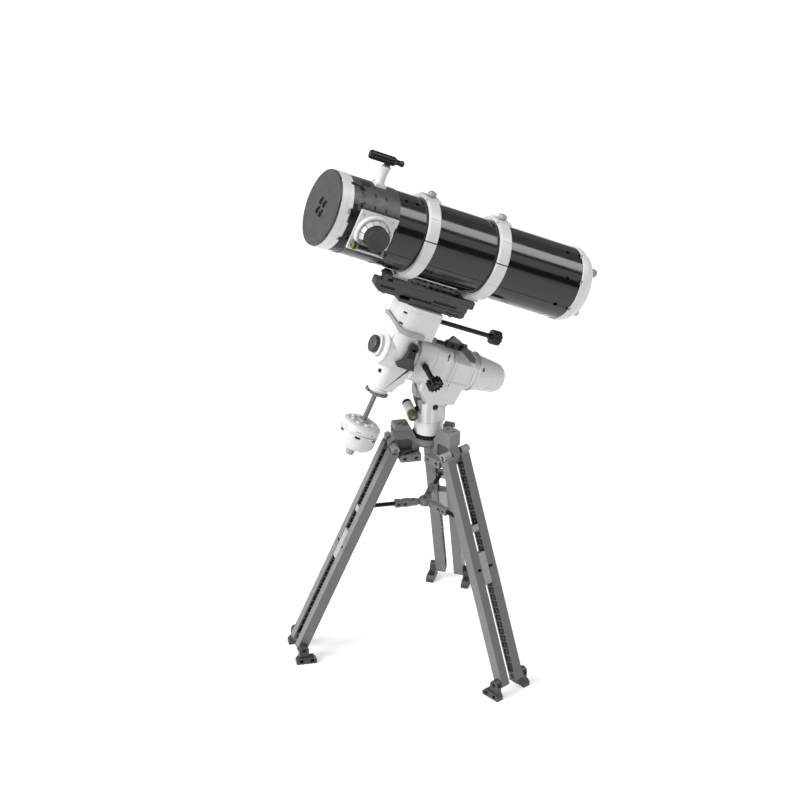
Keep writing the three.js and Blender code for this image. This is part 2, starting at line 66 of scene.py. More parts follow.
MM = 0.001
DEG = math.pi / 180
TURN = 2 * math.pi
STUD = 8.0            # pitch of the bricks' studs
AXLE = 2.4            # radius of a cross axle
PIN_BORE = 2.8        # radius of the bores that pins turn in
AXIS_BORE = 6.4       # radius of the bores for the mount's main axles
BEAM = 11.2           # width of a stand rail, and its distance from the leg's middle
STRIP = 3.9           # half the width of the studded strip in a rail
RAIL_SPLIT = -128.0   # where a rail's two beams meet, down from the leg's pivot
RAIL_SEAMS = (-62.0, -190.0)
TUBE_H = 125.4        # the tube's axis above the polar axis
TUBE_BORE = 36.8
TUBE_RADIUS = 40.0
FINE = 256            # sides of the parts that are turned about the tube's axis
FOCUSER_X = -99.5
FINDER_X = -95.5
FINDER_Z = 68.6
HEAD_X = -2.0         # centre of the declination head's round front
HEAD_RADIUS = 22
RING_SPLIT = 77.0     # where the tube rings part, in degrees from the top towards the camera
PANEL_ANGLES = [22.5 + 45 * k for k in range(8)]
CAP_PITCH = 5.2


# ------------------------------------------------------------------ local frames
def basis(origin, x, y, z):
    """Matrix from local millimetres to world metres."""
    turn = Matrix((x, y, z)).transposed().to_4x4()
    return Matrix.Translation(origin) @ turn @ Matrix.Scale(MM, 4)


def place(name):
    return Vector(joints[name]["pos_m"])


def direction(name):
    return Vector(joints[name]["axis"]).normalized()


EAST, NORTH, UP = Vector((1, 0, 0)), Vector((0, 1, 0)), Vector((0, 0, 1))
FOOT_OF_AXIS = Vector((place("azimuth_turn").x, place("azimuth_turn").y, 0))
POLAR_X, POLAR_Z = direction("ra_turn"), direction("dec_turn")
POLAR_Y = POLAR_Z.cross(POLAR_X)


def polar_at(joint):
    """Origin at the joint, X aft along the tube, Z along the declination axis."""
    return basis(place(joint), POLAR_X, POLAR_Y, POLAR_Z)


def leg_frame(number):
    """Origin at the leg's pivot, X out of the leg's outer face, Z up along the leg."""
    top, bottom = place(f"leg_{number}_fold"), place(f"feet_{number}_tilt")
    across = direction(f"leg_{number}_fold")
    up = (top - bottom).normalized()
    return basis(top, across.cross(up), across, up)


def sector_frame(number, origin):
    """X outwards along this leg's sector, Z up."""
    across = direction(f"leg_{number}_fold")
    return basis(origin, across.cross(UP), across, UP)


STAND = basis(FOOT_OF_AXIS, EAST, NORTH, UP)
POLAR = polar_at("ra_turn")
TUBE = POLAR @ Matrix.Translation((0, 0, TUBE_H))
LEG_LENGTH = (place("leg_1_fold") - place("feet_1_tilt")).length / MM


# ------------------------------------------------------------------ shapes, in local millimetres
def about(centre, half):
    return (centre - half, centre + half)


def sided(side, start, end):
    """The stretch between two distances from the middle, on one side of it."""
    return sorted((side * start, side * end))


def stations(low, high, step):
    values = []
    while low <= high:
        values.append(low)
        low += step
    return values


def box(xs, ys, zs):
    bm = bmesh.new()
    bmesh.ops.create_cube(bm, size=1)
    size = Vector((xs[1] - xs[0], ys[1] - ys[0], zs[1] - zs[0]))
    middle = Vector((sum(xs), sum(ys), sum(zs))) / 2
    return placed(bm, Matrix.Translation(middle) @ Matrix.Diagonal(size).to_4x4())


def rod(start, end, radius, end_radius=None, sides=32):
    start, end = Vector(start), Vector(end)
    bm = bmesh.new()
    bmesh.ops.create_cone(bm, cap_ends=True, segments=sides, radius1=radius,
                          radius2=radius if end_radius is None else end_radius, depth=(end - start).length)
    align = UP.rotation_difference(end - start).to_matrix().to_4x4()
    return placed(bm, Matrix.Translation((start + end) / 2) @ align)


def lathe(profile, axis="X", sides=96, closed=False):
    """Turns (radius, station) points about a local axis. A closed profile is a ring's section."""
    bm = bmesh.new()
    rings = []
    for radius, station in profile:
        ring = []
        for step in range(1 if radius < 1e-6 else sides):
            u, v = circle_point(radius, TURN * step / sides)
            spot = {"X": (station, u, v), "Y": (v, station, u), "Z": (u, v, station)}[axis]
            ring.append(bm.verts.new(spot))
        rings.append(ring)
    for a, b in zip(rings, rings[1:] + (rings[:1] if closed else [])):
        for step in range(sides):
            after = (step + 1) % sides
            corners = [a[step % len(a)], a[after % len(a)], b[after % len(b)], b[step % len(b)]]
            corners = list(dict.fromkeys(corners))
            if len(corners) > 2:
                bm.faces.new(corners)
    return bm


def disc(radius, start, end, axis="X", sides=96):
    return lathe([(0, start), (radius, start), (radius, end), (0, end)], axis, sides)


def band(inner, outer, start, end, axis="X", sides=96):
    return lathe([(inner, start), (outer, start), (outer, end), (inner, end)], axis, sides, closed=True)


def prism(points, low, high, plane="XZ"):
    """Extrudes an outline drawn in a local plane along the plane's normal."""
    bm = bmesh.new()
    put = {"XZ": lambda u, v, w: (u, w, v), "YZ": lambda u, v, w: (w, u, v),
           "XY": lambda u, v, w: (u, v, w)}[plane]
    bottom = [bm.verts.new(put(u, v, low)) for u, v in points]
    top = [bm.verts.new(put(u, v, high)) for u, v in points]
    bm.faces.new(bottom)
    bm.faces.new(list(reversed(top)))
    for i in range(len(points)):
        j = (i + 1) % len(points)
        bm.faces.new([bottom[i], top[i], top[j], bottom[j]])
    return bm


def hoop(*loops):
    """A closed band through loops that have the same number of points."""
    bm = bmesh.new()
    rings = [[bm.verts.new(point) for point in loop] for loop in loops]
    for a, b in zip(rings, rings[1:] + rings[:1]):
        for i in range(len(a)):
            j = (i + 1) % len(a)
            bm.faces.new([a[i], a[j], b[j], b[i]])
    return bm


def circle_point(radius, angle):
    return (radius * math.cos(angle), radius * math.sin(angle))


def arc(centre, radius, start, end, steps=16):
    """Points on an arc, angles in degrees."""
    angles = [(start + (end - start) * i / steps) * DEG for i in range(steps + 1)]
    return [(centre[0] + radius * math.cos(a), centre[1] + radius * math.sin(a)) for a in angles]


def toothed(count, corners):
    """Outline of a toothed wheel, from each tooth's corners as (radius, angle in radians)."""
    return [circle_point(radius, TURN * tooth / count + angle)
            for tooth in range(count) for radius, angle in corners]


def axle_bar(start, end, radius=AXLE, groove=0.9):
    """A cross-section axle along X: a round bar with four grooves."""
    points = []
    for base in (0, 90, 180, 270):
        points += arc((0, 0), radius, base - 26, base + 26, 4)
        points.append(circle_point(groove * 1.6, (base + 45) * DEG))
    return prism(points, start, end, "YZ")


def placed(shape, matrix):
    bmesh.ops.transform(shape, matrix=matrix, verts=shape.verts)
    return shape


def moved(shape, x=0, y=0, z=0):
    return placed(shape, Matrix.Translation((x, y, z)))


def spun(shape, degrees, axis="X"):
    """Turned about an axis. About X, the +Z side goes towards the camera by that angle."""
    return placed(shape, Matrix.Rotation(degrees * DEG, 4, axis))


def pie_slice(start, end, x, reach=90):
    """A wedge of the tube's surroundings, between two angles measured from the top towards the camera."""
    steps = max(2, int(abs(end - start) / 12))
    angles = [(start + (end - start) * i / steps) * DEG for i in range(steps + 1)]
    points = [(0.0, 0.0)] + [(-reach * math.sin(a), reach * math.cos(a)) for a in angles]
    return prism(points, *about(x, 20), "YZ")


def merge(*parts):
    """One bmesh holding several separate shells."""
    whole = bmesh.new()
    for part in parts:
        mesh = bpy.data.meshes.new("shell")
        bmesh.ops.recalc_face_normals(part, faces=part.faces)
        part.to_mesh(mesh)
        part.free()
        whole.from_mesh(mesh)
        bpy.data.meshes.remove(mesh)
    return whole


# ------------------------------------------------------------------ objects
def new_object(name, shape, here):
    placed(shape, here)
    bmesh.ops.recalc_face_normals(shape, faces=shape.faces)
    mesh = bpy.data.meshes.new(name)
    shape.to_mesh(mesh)
    shape.free()
    return linked(name, mesh)


def linked(name, data):
    obj = bpy.data.objects.new(name, data)
    bpy.context.collection.objects.link(obj)
    return obj


def apply_modifiers(obj):
    graph = bpy.context.evaluated_depsgraph_get()
    mesh = bpy.data.meshes.new_from_object(obj.evaluated_get(graph))
    old = obj.data
    obj.modifiers.clear()
    obj.data = mesh
    bpy.data.meshes.remove(old)


def combine(obj, other, operation, own_overlaps=False):
    """Joins another object to this one, or cuts it away, and removes it."""
    modifier = obj.modifiers.new("boolean", "BOOLEAN")
    modifier.operation = operation
    modifier.solver = "EXACT"
    modifier.use_self = own_overlaps
    modifier.object = other
    apply_modifiers(obj)
    bpy.data.objects.remove(other)


def join(obj, here, *shapes):
    for shape in shapes:
        combine(obj, new_object("tool", shape, here), "UNION")


def cut(obj, here, *shapes):
    for shape in shapes:
        combine(obj, new_object("tool", shape, here), "DIFFERENCE")


def engrave(obj, here, shape):
    """Cuts a fine line: the quick way first, then the careful way if the body came out broken."""
    whole = obj.data.copy()
    for careful in (False, True):
        combine(obj, new_object("tool", shape.copy(), here), "DIFFERENCE", careful)
        if len(obj.data.polygons) > 0.9 * len(whole.polygons):
            break
        obj.data = whole.copy()
    shape.free()


def soften(obj, width, here=None, engraved=()):
    """Rounds the sharp edges, then engraves fine lines, and shades faces flat up to their rounded edges."""
    bm = bmesh.new()
    bm.from_mesh(obj.data)
    bmesh.ops.remove_doubles(bm, verts=bm.verts, dist=5e-6)
    bmesh.ops.dissolve_limit(bm, angle_limit=0.6 * DEG, verts=bm.verts, edges=bm.edges)
    bm.to_mesh(obj.data)
    bm.free()
    if width > 0:
        bevel = obj.modifiers.new("bevel", "BEVEL")
        bevel.width = width * MM
        bevel.segments = 3
        bevel.limit_method = "ANGLE"
        bevel.angle_limit = 28 * DEG
        bevel.use_clamp_overlap = True
        bevel.miter_outer = "MITER_ARC"
        apply_modifiers(obj)
    for shape in engraved:
        engrave(obj, here, shape)
    for polygon in obj.data.polygons:
        polygon.use_smooth = True
    obj.data.set_sharp_from_angle(angle=40 * DEG)
    weighted = obj.modifiers.new("weighted", "WEIGHTED_NORMAL")
    weighted.weight = 100
    weighted.keep_sharp = True
    apply_modifiers(obj)


def finish_piece(obj, body, material, replaces=()):
    obj.data.materials.clear()
    obj.data.materials.append(material)
    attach(obj, body)
    if replaces:
        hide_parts(*replaces)


def piece(name, shape, material, replaces=(), bevel=0.3, cuts=(), joins=(), engraved=(), *, body, here):
    """Makes a finished piece that rides on a body, and stands for CAD nodes where it says so."""
    obj = new_object(name, shape, here)
    join(obj, here, *joins)
    cut(obj, here, *cuts)
    soften(obj, bevel, here, engraved)
    finish_piece(obj, body, material, replaces)


def riding(body, here):
    """The piece function with its body and its frame filled in."""
    return functools.partial(piece, body=body, here=here)


def moulded(node, body, material, bevel=0.3):
    """The CAD node's own shape with rounded edges."""
    obj = linked(node + "_moulded", frame["nodes"][node].data.copy())
    soften(obj, bevel)
    finish_piece(obj, body, material, (node,))


on_stand, on_azimuth = riding("tripod_hub", STAND), riding("azimuth", STAND)
on_latitude, on_head = riding("latitude", POLAR), riding("right_ascension", POLAR)
on_weight, on_dovetail = riding("counterweight", POLAR), riding("dovetail", POLAR)
on_tube = riding("tube", TUBE)


# ------------------------------------------------------------------ materials
def plastic(name, slot, color, roughness, variation=0.05, peel=1.0, scuffs=0.5, edge_highlight_gain=1.12):
    """Moulded ABS: slight colour drift, orange-peel bump, fine scuffs in the gloss, and a painted highlight
    that lightens sharp convex edges.
    """
    material = bpy.data.materials.new(name)
    material["slot"] = slot
    material.use_nodes = True
    nodes, links = material.node_tree.nodes, material.node_tree.links
    shader = nodes["Principled BSDF"]
    shader.inputs["IOR"].default_value = 1.53

    def node(kind, **values):
        made = nodes.new("ShaderNode" + kind)
        for socket, value in values.items():
            made.inputs[socket.replace("_", " ")].default_value = value
        return made

    where = node("TexCoord")

    def noise(scale, detail, rough=0.5, stretch=(1, 1, 1)):
        mapping = node("Mapping", Scale=stretch)
        texture = node("TexNoise", Scale=scale, Detail=detail, Roughness=rough)
        links.new(where.outputs["Object"], mapping.inputs["Vector"])
        links.new(mapping.outputs["Vector"], texture.inputs["Vector"])
        return texture.outputs["Fac"]

    def remap(source, low, high, to_low, to_high):
        made = node("MapRange", From_Min=low, From_Max=high, To_Min=to_low, To_Max=to_high)
        links.new(source, made.inputs["Value"])
        return made.outputs["Result"]

    def mix(amount, first, second):
        made = node("Mix")
        made.data_type = "RGBA"
        links.new(amount, made.inputs[0])
        for socket, value in ((made.inputs[6], first), (made.inputs[7], second)):
            if isinstance(value, tuple):
                socket.default_value = (*value, 1)
            else:
                links.new(value, socket)
        return made.outputs[2]

    # colour drifts a little from brick to brick, and is painted paler on sharp convex edges as a highlight
    dark = tuple(channel * (1 - variation) for channel in color)
    pale = tuple(min(1.0, channel * (1 + variation)) for channel in color)
    edge_highlight_colour = tuple(min(1.0, channel * edge_highlight_gain + 0.004) for channel in color)
    drift = mix(remap(noise(38.0, 3.0), 0.3, 0.7, 0.0, 1.0), dark, pale)
    # painted highlight: pointiness lightens the colour on sharp convex edges
    edge_highlight_mask = remap(node("NewGeometry").outputs["Pointiness"], 0.52, 0.62, 0.0, 0.6)
    links.new(mix(edge_highlight_mask, drift, edge_highlight_colour), shader.inputs["Base Color"])

    # gloss: broad handling haze, and fine scuffs that run mostly one way
    haze = remap(noise(90.0, 4.0, 0.6), 0.35, 0.7, roughness * 0.85, roughness * 1.25)
    scratches = remap(noise(900.0, 3.0, 0.7, (1.0, 0.16, 0.4)), 0.58, 0.8, 0.0, 0.14 * scuffs)
    total = node("Math")
    total.operation = "ADD"
    links.new(haze, total.inputs[0])
    links.new(scratches, total.inputs[1])
    links.new(total.outputs["Value"], shader.inputs["Roughness"])

    # orange peel of the mould over soft sink marks
    fine_bump = node("Bump", Strength=0.07 * peel, Distance=0.0002)
    broad_bump = node("Bump", Strength=0.05 * peel, Distance=0.001)
    links.new(noise(700.0, 2.0), fine_bump.inputs["Height"])
    links.new(noise(55.0, 1.0), broad_bump.inputs["Height"])
    links.new(fine_bump.outputs["Normal"], broad_bump.inputs["Normal"])
    links.new(broad_bump.outputs["Normal"], shader.inputs["Normal"])
    return material


WHITE = plastic("white_abs", "white_plastic", (0.6, 0.6, 0.595), 0.36, 0.025)
LIGHT = plastic("light_grey_abs", "light_grey_plastic", (0.3, 0.305, 0.31), 0.36, 0.05)
# lighter copy of the light grey: painted light on the focuser petals, which sit in the collar's shade
LIGHT_GREY_PAINTED_LIGHT = plastic("light_grey_painted_light_abs", "light_grey_plastic", (0.5, 0.5, 0.5), 0.34, 0.05)
STAND_GREY = plastic("stand_grey_abs", "stand_grey_plastic", (0.132, 0.134, 0.138), 0.38, 0.06)
# lighter copy of the stand grey: painted highlight on the lit tops of the leg sleeves
STAND_GREY_PAINTED_HIGHLIGHT = plastic("stand_grey_painted_highlight_abs", "stand_grey_plastic", (0.24, 0.243, 0.248), 0.34, 0.06)
# darker copy of the stand grey: painted shade, on the rungs between the rail studs and on the clamp's crest
# and sleeve
STAND_GREY_PAINTED_SHADE = plastic("stand_grey_painted_shade_abs", "stand_grey_plastic", (0.088, 0.09, 0.093), 0.4, 0.06)
# darkest copy of the stand grey: painted shade on the studs sunk in the rails and on the walls inside the
# hub's arches
STAND_GREY_DEEP_PAINTED_SHADE = plastic("stand_grey_deep_painted_shade_abs", "stand_grey_plastic", (0.05, 0.051, 0.053), 0.4, 0.06)
# lighter copy of the dark grey: painted reflection of the bright light above, on the tube's top panel and
# front collar
DARK_GREY_PAINTED_REFLECTION = plastic("panel_painted_reflection_abs", "dark_grey_plastic", (0.05, 0.051, 0.053), 0.42, 0.06)
# lighter copy of the dark grey: painted light on the dust cap's up-facing face
DARK_GREY_PAINTED_LIGHT = plastic("cap_painted_light_abs", "dark_grey_plastic", (0.037, 0.038, 0.04), 0.45, 0.05)
DARK = plastic("dark_grey_abs", "dark_grey_plastic", (0.027, 0.028, 0.029), 0.36, 0.08)
# darker copy of the dark grey: painted shade on the eyepiece
EYEPIECE_PAINTED_SHADE = plastic("eyepiece_painted_shade_abs", "dark_grey_plastic", (0.013, 0.0133, 0.0144), 0.42, 0.08)
# the blacks take a stronger painted highlight on their edges
BLACK = plastic("black_abs", "black_plastic", (0.004, 0.004, 0.0044), 0.26, 0.15, edge_highlight_gain=1.3)
TUBE_BLACK = plastic("tube_black_abs", "black_plastic", (0.004, 0.004, 0.0044), 0.13, 0.15, 0.35, 0.35, 1.4)
OLIVE = plastic("olive_tan_abs", "tan_plastic", (0.2, 0.17, 0.06), 0.33, 0.08)
TAN = plastic("tan_abs", "tan_plastic", (0.36, 0.29, 0.09), 0.33, 0.06)
BRONZE = plastic("dark_bronze_abs", "tan_plastic", (0.05, 0.045, 0.03), 0.3, 0.1)
BRASS = plastic("brass_tan_abs", "tan_plastic", (0.4, 0.29, 0.08), 0.28, 0.06)
MIRROR = plastic("mirror_film", "mirror", (0.8, 0.82, 0.83), 0.05, 0.02, 0.2, 0.2)
MIRROR.node_tree.nodes["Principled BSDF"].inputs["Metallic"].default_value = 1.0
BLACK.node_tree.nodes["Principled BSDF"].inputs["Specular IOR Level"].default_value = 0.28


# ------------------------------------------------------------------ stand
def leg_rail(number, side):
    """One rail: a beam with a strip of studs and bars sunk into the face towards its twin, coloured dark as
    painted shade.
    """
    node = f"leg_rail_{number}{'a' if side > 0 else 'b'}"
    add = riding(f"leg_{number}", leg_frame(number))
    half = BEAM / 2
    low = -LEG_LENGTH - half
    ends = (side * BEAM - half, side * BEAM + half)
    through = (ends[0] - 1, ends[1] + 1)
    inner = side * (BEAM - half)

    def across(start, end):
        return sorted((inner + side * start, inner + side * end))

    outline = [(half, -1), (half - 1.5, 1.2), (-half + 1.5, 1.2), (-half, -1), (-half, low + 1.5),
               (-half + 1.5, low), (half - 1.5, low), (half, low + 1.5)]
    holes = merge(*[rod((0, through[0], z), (0, through[1], z), PIN_BORE) for z in (0, -LEG_LENGTH)])
    strip = box(about(0, STRIP), across(-1, 1.1), (-LEG_LENGTH + 4.6, -8))
    notch = box((2.4, 9), across(-1, 5.6), about(RAIL_SPLIT, 1.6))
    lines = [box((-9, -2.4), through, about(RAIL_SPLIT, 0.25))]
    lines += [box((half - 0.25, 9), through, about(z, 0.14)) for z in (*RAIL_SEAMS, RAIL_SPLIT)]
    add(node + "_beam", prism(outline, *ends), STAND_GREY, (node,), 0.35, cuts=(holes, strip, notch),
        engraved=lines)
    # painted shade: black floors in the sunk strip and in the split notch
    core = box(about(0, STRIP - 0.05), across(0.98, 1.4), (-LEG_LENGTH + 4.7, -8.1))
    add(node + "_core", core, BLACK, bevel=0)
    add(node + "_notch_floor", box((1.9, 2.5), across(0, 5.5), about(RAIL_SPLIT, 1.5)), BLACK, bevel=0)
    # studs and rungs in darker copies of stand grey: painted shade inside the strip
    studs, rungs = [], []
    for step in range(int((LEG_LENGTH - 16) / STUD)):
        z = -12.0 - step * STUD
        if not RAIL_SPLIT - 4 < z < RAIL_SPLIT + 4:
            studs.append(rod((0, inner + side * 1.1, z), (0, inner + side * 0.4, z), 1.9, sides=20))
            rungs.append(box(about(0, STRIP - 0.2), across(0.3, 1.1), (z - 4.9, z - 3.1)))
    add(node + "_studs", merge(*studs), STAND_GREY_DEEP_PAINTED_SHADE, bevel=0.12)
    add(node + "_rungs", merge(*rungs), STAND_GREY_PAINTED_SHADE, bevel=0.12)


def leg_fittings(number):
    """The light joiners between the rails, the sleeves across the rails' tops, and the hinge axle."""
    add = riding(f"leg_{number}", leg_frame(number))
    for name, low, high, depth in (("joiner", -146.0, -110.0, 4.4), ("spacer", -86.0, -79.0, 4.0)):
        grips = [box((depth + 0.6, depth + 2), (-5.6, 5.6), about(z, 0.15))
                 for z in stations(low + STUD, high - 4, STUD)]
        add(f"leg_{number}_{name}", box((-depth, depth + 0.9), (-5.5, 5.5), (low, high)), LIGHT, bevel=0.5,
            engraved=grips)
    sleeves, bores = [], []
    x, z = 1.2, 3.8
    for side in (-1, 1):
        sleeves.append(rod((x, side * 8.4, z), (x, side * 19.4, z), 4.2, sides=48))
        bores.append(rod((x, side * 16.4, z), (x, side * 21, z), 2.3))
        bores.append(rod((x, side * 5, z), (x, side * 10.6, z), 2.3))
    # the sleeves take the lighter copy of stand grey: painted highlight along the rails' lit tops
    add(f"leg_{number}_sleeves", merge(*sleeves), STAND_GREY_PAINTED_HIGHLIGHT, bevel=0.35,
        cuts=(merge(*bores), rod((0, -22, 0), (0, 22, 0), 2.7)))
    sockets = merge(*[box((-0.5, 0.5), sided(s, 14, 16), (-1.6, 1.6)) for s in (1, -1)])
    piece(f"leg_pin_{number}_axle", rod((0, -15.2, 0), (0, 15.2, 0), AXLE), LIGHT, (f"leg_pin_{number}",),
          cuts=(sockets,), body="tripod_hub", here=leg_frame(number))


def foot(number, side):
    """A T-shaped shoe with a hinge eye, a ribbed sole and a small axle hole."""
    node = f"foot_{number}{'a' if side > 0 else 'b'}"
    hinge = place(f"feet_{number}_tilt")
    ground = -hinge.z / MM
    inner = side * (BEAM * 1.5 + 0.3)

    def across(start, end):
        return sorted((inner + side * start, inner + side * end))

    def hole(start, end, radius):
        (x0, y0, z0), (x1, y1, z1) = start, end
        return rod((x0, inner + side * y0, z0), (x1, inner + side * y1, z1), radius)

    sole = prism([(-14.4, ground), (8.6, ground), (8.6, ground + 4.6), (5.4, ground + 8), (-11.2, ground + 8),
                  (-14.4, ground + 4.6)], *across(0, 8.8))
    lug = prism([(-5.4, ground + 6), (5.4, ground + 6)] + arc((0, 0), 5.4, 0, 180, 20), *across(0, 7))
    pin = rod((0, side * 6.2, 0), (0, inner + side, 0), AXLE)
    holes = merge(hole((0, 5, 0), (0, 9, 0), 2.5), hole((3, 6, ground + 4), (3, 12, ground + 4), 2.2),
                  hole((-9, 6, ground + 4), (-9, 12, ground + 4), 2.2),
                  hole((3.6, 3.5, -0.4), (9, 3.5, -0.4), 1.9))
    ribs = merge(*[box(about(x, 0.5), across(-1, 10), (ground - 1, ground + 0.7))
                   for x in (-10, -5.5, -1, 3.5)])
    rim = moved(band(2.7, 3.2, 0, 0.4, "Y", 40), -9, inner + side * 8.8 - 0.2, ground + 4)
    piece(node + "_shoe", sole, DARK, (node,), 0.45, cuts=(holes, ribs), joins=(lug, pin), engraved=(rim,),
          body=f"feet_{number}", here=sector_frame(number, hinge))


def hub():
    """The three-armed hub: arched brackets on a low shelf, pin holes and a dark turntable on top."""
    arm = [(11.5, 240.5), (40, 240.5), (45, 247), (45, 258), (40.5, 263), (40.5, 279.5), (39, 281), (24, 281),
           (14, 263), (11.5, 263)]
    shelf = [(11.5, 240.5), (34.3, 240.5), (34.3, 247.6), (33, 249), (11.5, 249)]
    arch = [(19.6, 249.3), (36, 249.3), (36, 264.5), (27, 264.5)] + arc((25.6, 258.5), 6, 90, 180, 12)
    # dark lining for the walls inside the arch: painted shade
    shade_lining = [(19.7, 249.4), (35.4, 249.4), (35.4, 264.4), (27, 264.4)] + arc((25.6, 258.5), 5.9, 90, 180, 12)
    seams = [((22.5, 41), (-9, 9), (273.9, 274.2)), ((30.9, 31.2), (-9, 9), (280.6, 282)),
             ((11, 35), (-17, -16.2), (248.0, 248.25)), ((11, 35), (16.2, 17), (248.0, 248.25)),
             ((22.9, 23.2), (-17, 17), (248.6, 250)), ((34, 35), (-17, 17), (244.6, 244.9)),
             ((33.8, 46), (-9, -7.7), (265.6, 265.9)), ((33.8, 46), (7.7, 9), (265.6, 265.9))]
    obj = new_object("tripod_hub_body", rod((0, 0, 259), (0, 0, 265), 19, sides=72), STAND)
    join(obj, STAND, rod((0, 0, 258), (0, 0, 275), 6, sides=48))
    sectors = {number: sector_frame(number, FOOT_OF_AXIS) for number in (1, 2, 3)}
    for number, here in sectors.items():
        join(obj, here, prism(arm, -8, 8), prism(shelf, -16.5, 16.5))
        for s in (-1, 1):
            cut(obj, here, box((33.2, 60), sided(s, 5.2, 20), (249.2, 264)),
                box((34.4, 60), sided(s, 5.2, 20), (230, 250)), prism(arch, *sided(s, 4.6, 20)))
        pin_holes = []
        for s in (-1, 1):
            start, end = sided(s, 14, 18)
            pin_holes += [rod((x, start, 244.8), (x, end, 244.8), 2.3) for x in (29.6, 16.6)]
        cut(obj, here, merge(rod((41.5, -20, 253.5), (41.5, 20, 253.5), PIN_BORE), *pin_holes))
        add = riding("tripod_hub", here)
        # painted shade: a dark sheet lines the web inside each arch
        add(f"tripod_hub_web_{number}", prism(shade_lining, -4.9, 4.9), STAND_GREY_DEEP_PAINTED_SHADE)
        studs = merge(*[rod((x, 0, 280), (x, 0, 282.4), 2.4, sides=24) for x in (26.6, 34.6)])
        add(f"tripod_hub_studs_{number}", studs, STAND_GREY, bevel=0.2)
    soften(obj, 0.4)
    for here in sectors.values():
        cut(obj, here, *[box(*sizes) for sizes in seams])
    soften(obj, 0)
    finish_piece(obj, "tripod_hub", STAND_GREY, ("tripod_hub",))
    teeth = toothed(28, ((17.6, -0.05), (17.6, 0.05), (16.4, 0.08), (16.4, 0.145)))
    on_stand("turntable_ring", prism(teeth, 265, 268.4, "XY"), BLACK, bevel=0.15)


def spreader():
    """Grey hub and links with pin holes, and black rods that end between the rails."""
    centre = basis(FOOT_OF_AXIS + UP * place("spreader_arm_1_fold").z, EAST, NORTH, UP)
    profile = [(0, -4), (6.4, -4), (7, -3.4), (7, 3.4), (6.4, 4), (0, 4)]
    obj = new_object("spreader_hub_body", lathe(profile, "Z", 64), centre)
    arms = {number: sector_frame(number, place(f"spreader_arm_{number}_fold")) for number in (1, 2, 3)}
    for here in arms.values():
        join(obj, here, prism([(-8, -3), (0, -3)] + arc((0, 0), 3, -90, 90, 12) + [(-8, 3)], -1.8, 1.8))
    cut(obj, centre, merge(rod((0, 0, 2.4), (0, 0, 6), 2.5), rod((0, 0, -6), (0, 0, -2.4), 2.5)))
    soften(obj, 0.3)
    finish_piece(obj, "spreader_hub", STAND_GREY, ("spreader_hub",))
    outline = [(24, -3.6), (24, 3.6), (8.5, 3.6), (6, 3), (0, 3)] + arc((0, 0), 3, 90, 270, 12)
    outline += [(6, -3), (8.5, -3.6)]
    for number, here in arms.items():
        node = f"spreader_arm_{number}"
        add = riding(node, here)
        room = box((-6, 4.2), (-2.1, 2.1), (-6, 6))
        pins = merge(*[rod((x, -8, 0), (x, 8, 0), 1.7, sides=24) for x in (12.5, 20)])
        necks = [box((14.8, 17.6), sided(s, 2.8, 8), (-6, 6)) for s in (-1, 1)]
        add(f"spreader_link_{number}", prism(outline, -3.9, 3.9), STAND_GREY, bevel=0.35,
            cuts=(room, pins, *necks))
        add(f"spreader_rod_{number}", axle_bar(23, 55), BLACK, (node,), 0.2)
        add(f"spreader_pin_{number}", rod((0, -4.6, 0), (0, 4.6, 0), 1.5, sides=24), STAND_GREY, bevel=0.2)


def stand():
    for number in (1, 2, 3):
        for side in (1, -1):
            leg_rail(number, side)
            foot(number, side)
        leg_fittings(number)
    hub()
    spreader()


# ------------------------------------------------------------------ mount base
def mount_base():
    """White drum with two cheeks round the latitude hinge, and grey fins in front of them."""
    x, z = 1.0, 304.0
    drum = lathe([(0, 269), (15.4, 269), (16, 269.6), (16, 306.4), (15.4, 307), (0, 307)], "Z")
    cheeks = [(x - 10, 286), (x + 10, 286), (x + 10, z)] + arc((x, z), 10, 0, 180, 32) + [(x - 10, z)]
    bores = merge(rod((x, -20, z), (x, 20, z), PIN_BORE), rod((-20, 0, 285), (-10, 0, 285), PIN_BORE))
    pockets = merge(*[rod((x, s * 15.1, z), (x, s * 17, z), 3.3, sides=40) for s in (-1, 1)])
    slit = placed(box((-0.6, 0.6), (-1.2, 1.2), (-2.6, 2.6)),
                  Matrix.Translation((12.1, -10.5, 285.8)) @ Matrix.Rotation(-0.63, 4, "Z"))
    on_azimuth("azimuth_base_body", drum, WHITE, ("azimuth_base",), 0.4, joins=(prism(cheeks, -15.5, 15.5),),
               cuts=(box((-30, 30), (-10, 10), (294.4, 330)), bores,
                     rod((0, 0, 260), (0, 0, 277), AXIS_BORE, sides=64), pockets),
               engraved=(band(15.75, 17, 284.9, 285.15, "Z"), slit))
    pin = moved(spun(axle_bar(-15.8, 15.8), 90, "Z"), x, 0, z)
    on_azimuth("latitude_pin_axle", pin, BLACK, ("latitude_pin",), 0.2)
    for s, name in ((-1, "near"), (1, "far")):
        bush = moved(band(2.45, 3.25, s * 15.5, s * 14.8, "Y", 48), x, 0, z)
        on_azimuth(f"latitude_bush_{name}", bush, BLACK, bevel=0.1)
    fin = [(-12.5, 296.5), (-16.2, 306), (-16.6, 311), (-12, 311), (-7.6, 303), (-7.6, 296.5)]
    on_azimuth("azimuth_front_fins", merge(prism(fin, -9.4, -6.4), prism(fin, 6.4, 9.4)), LIGHT)


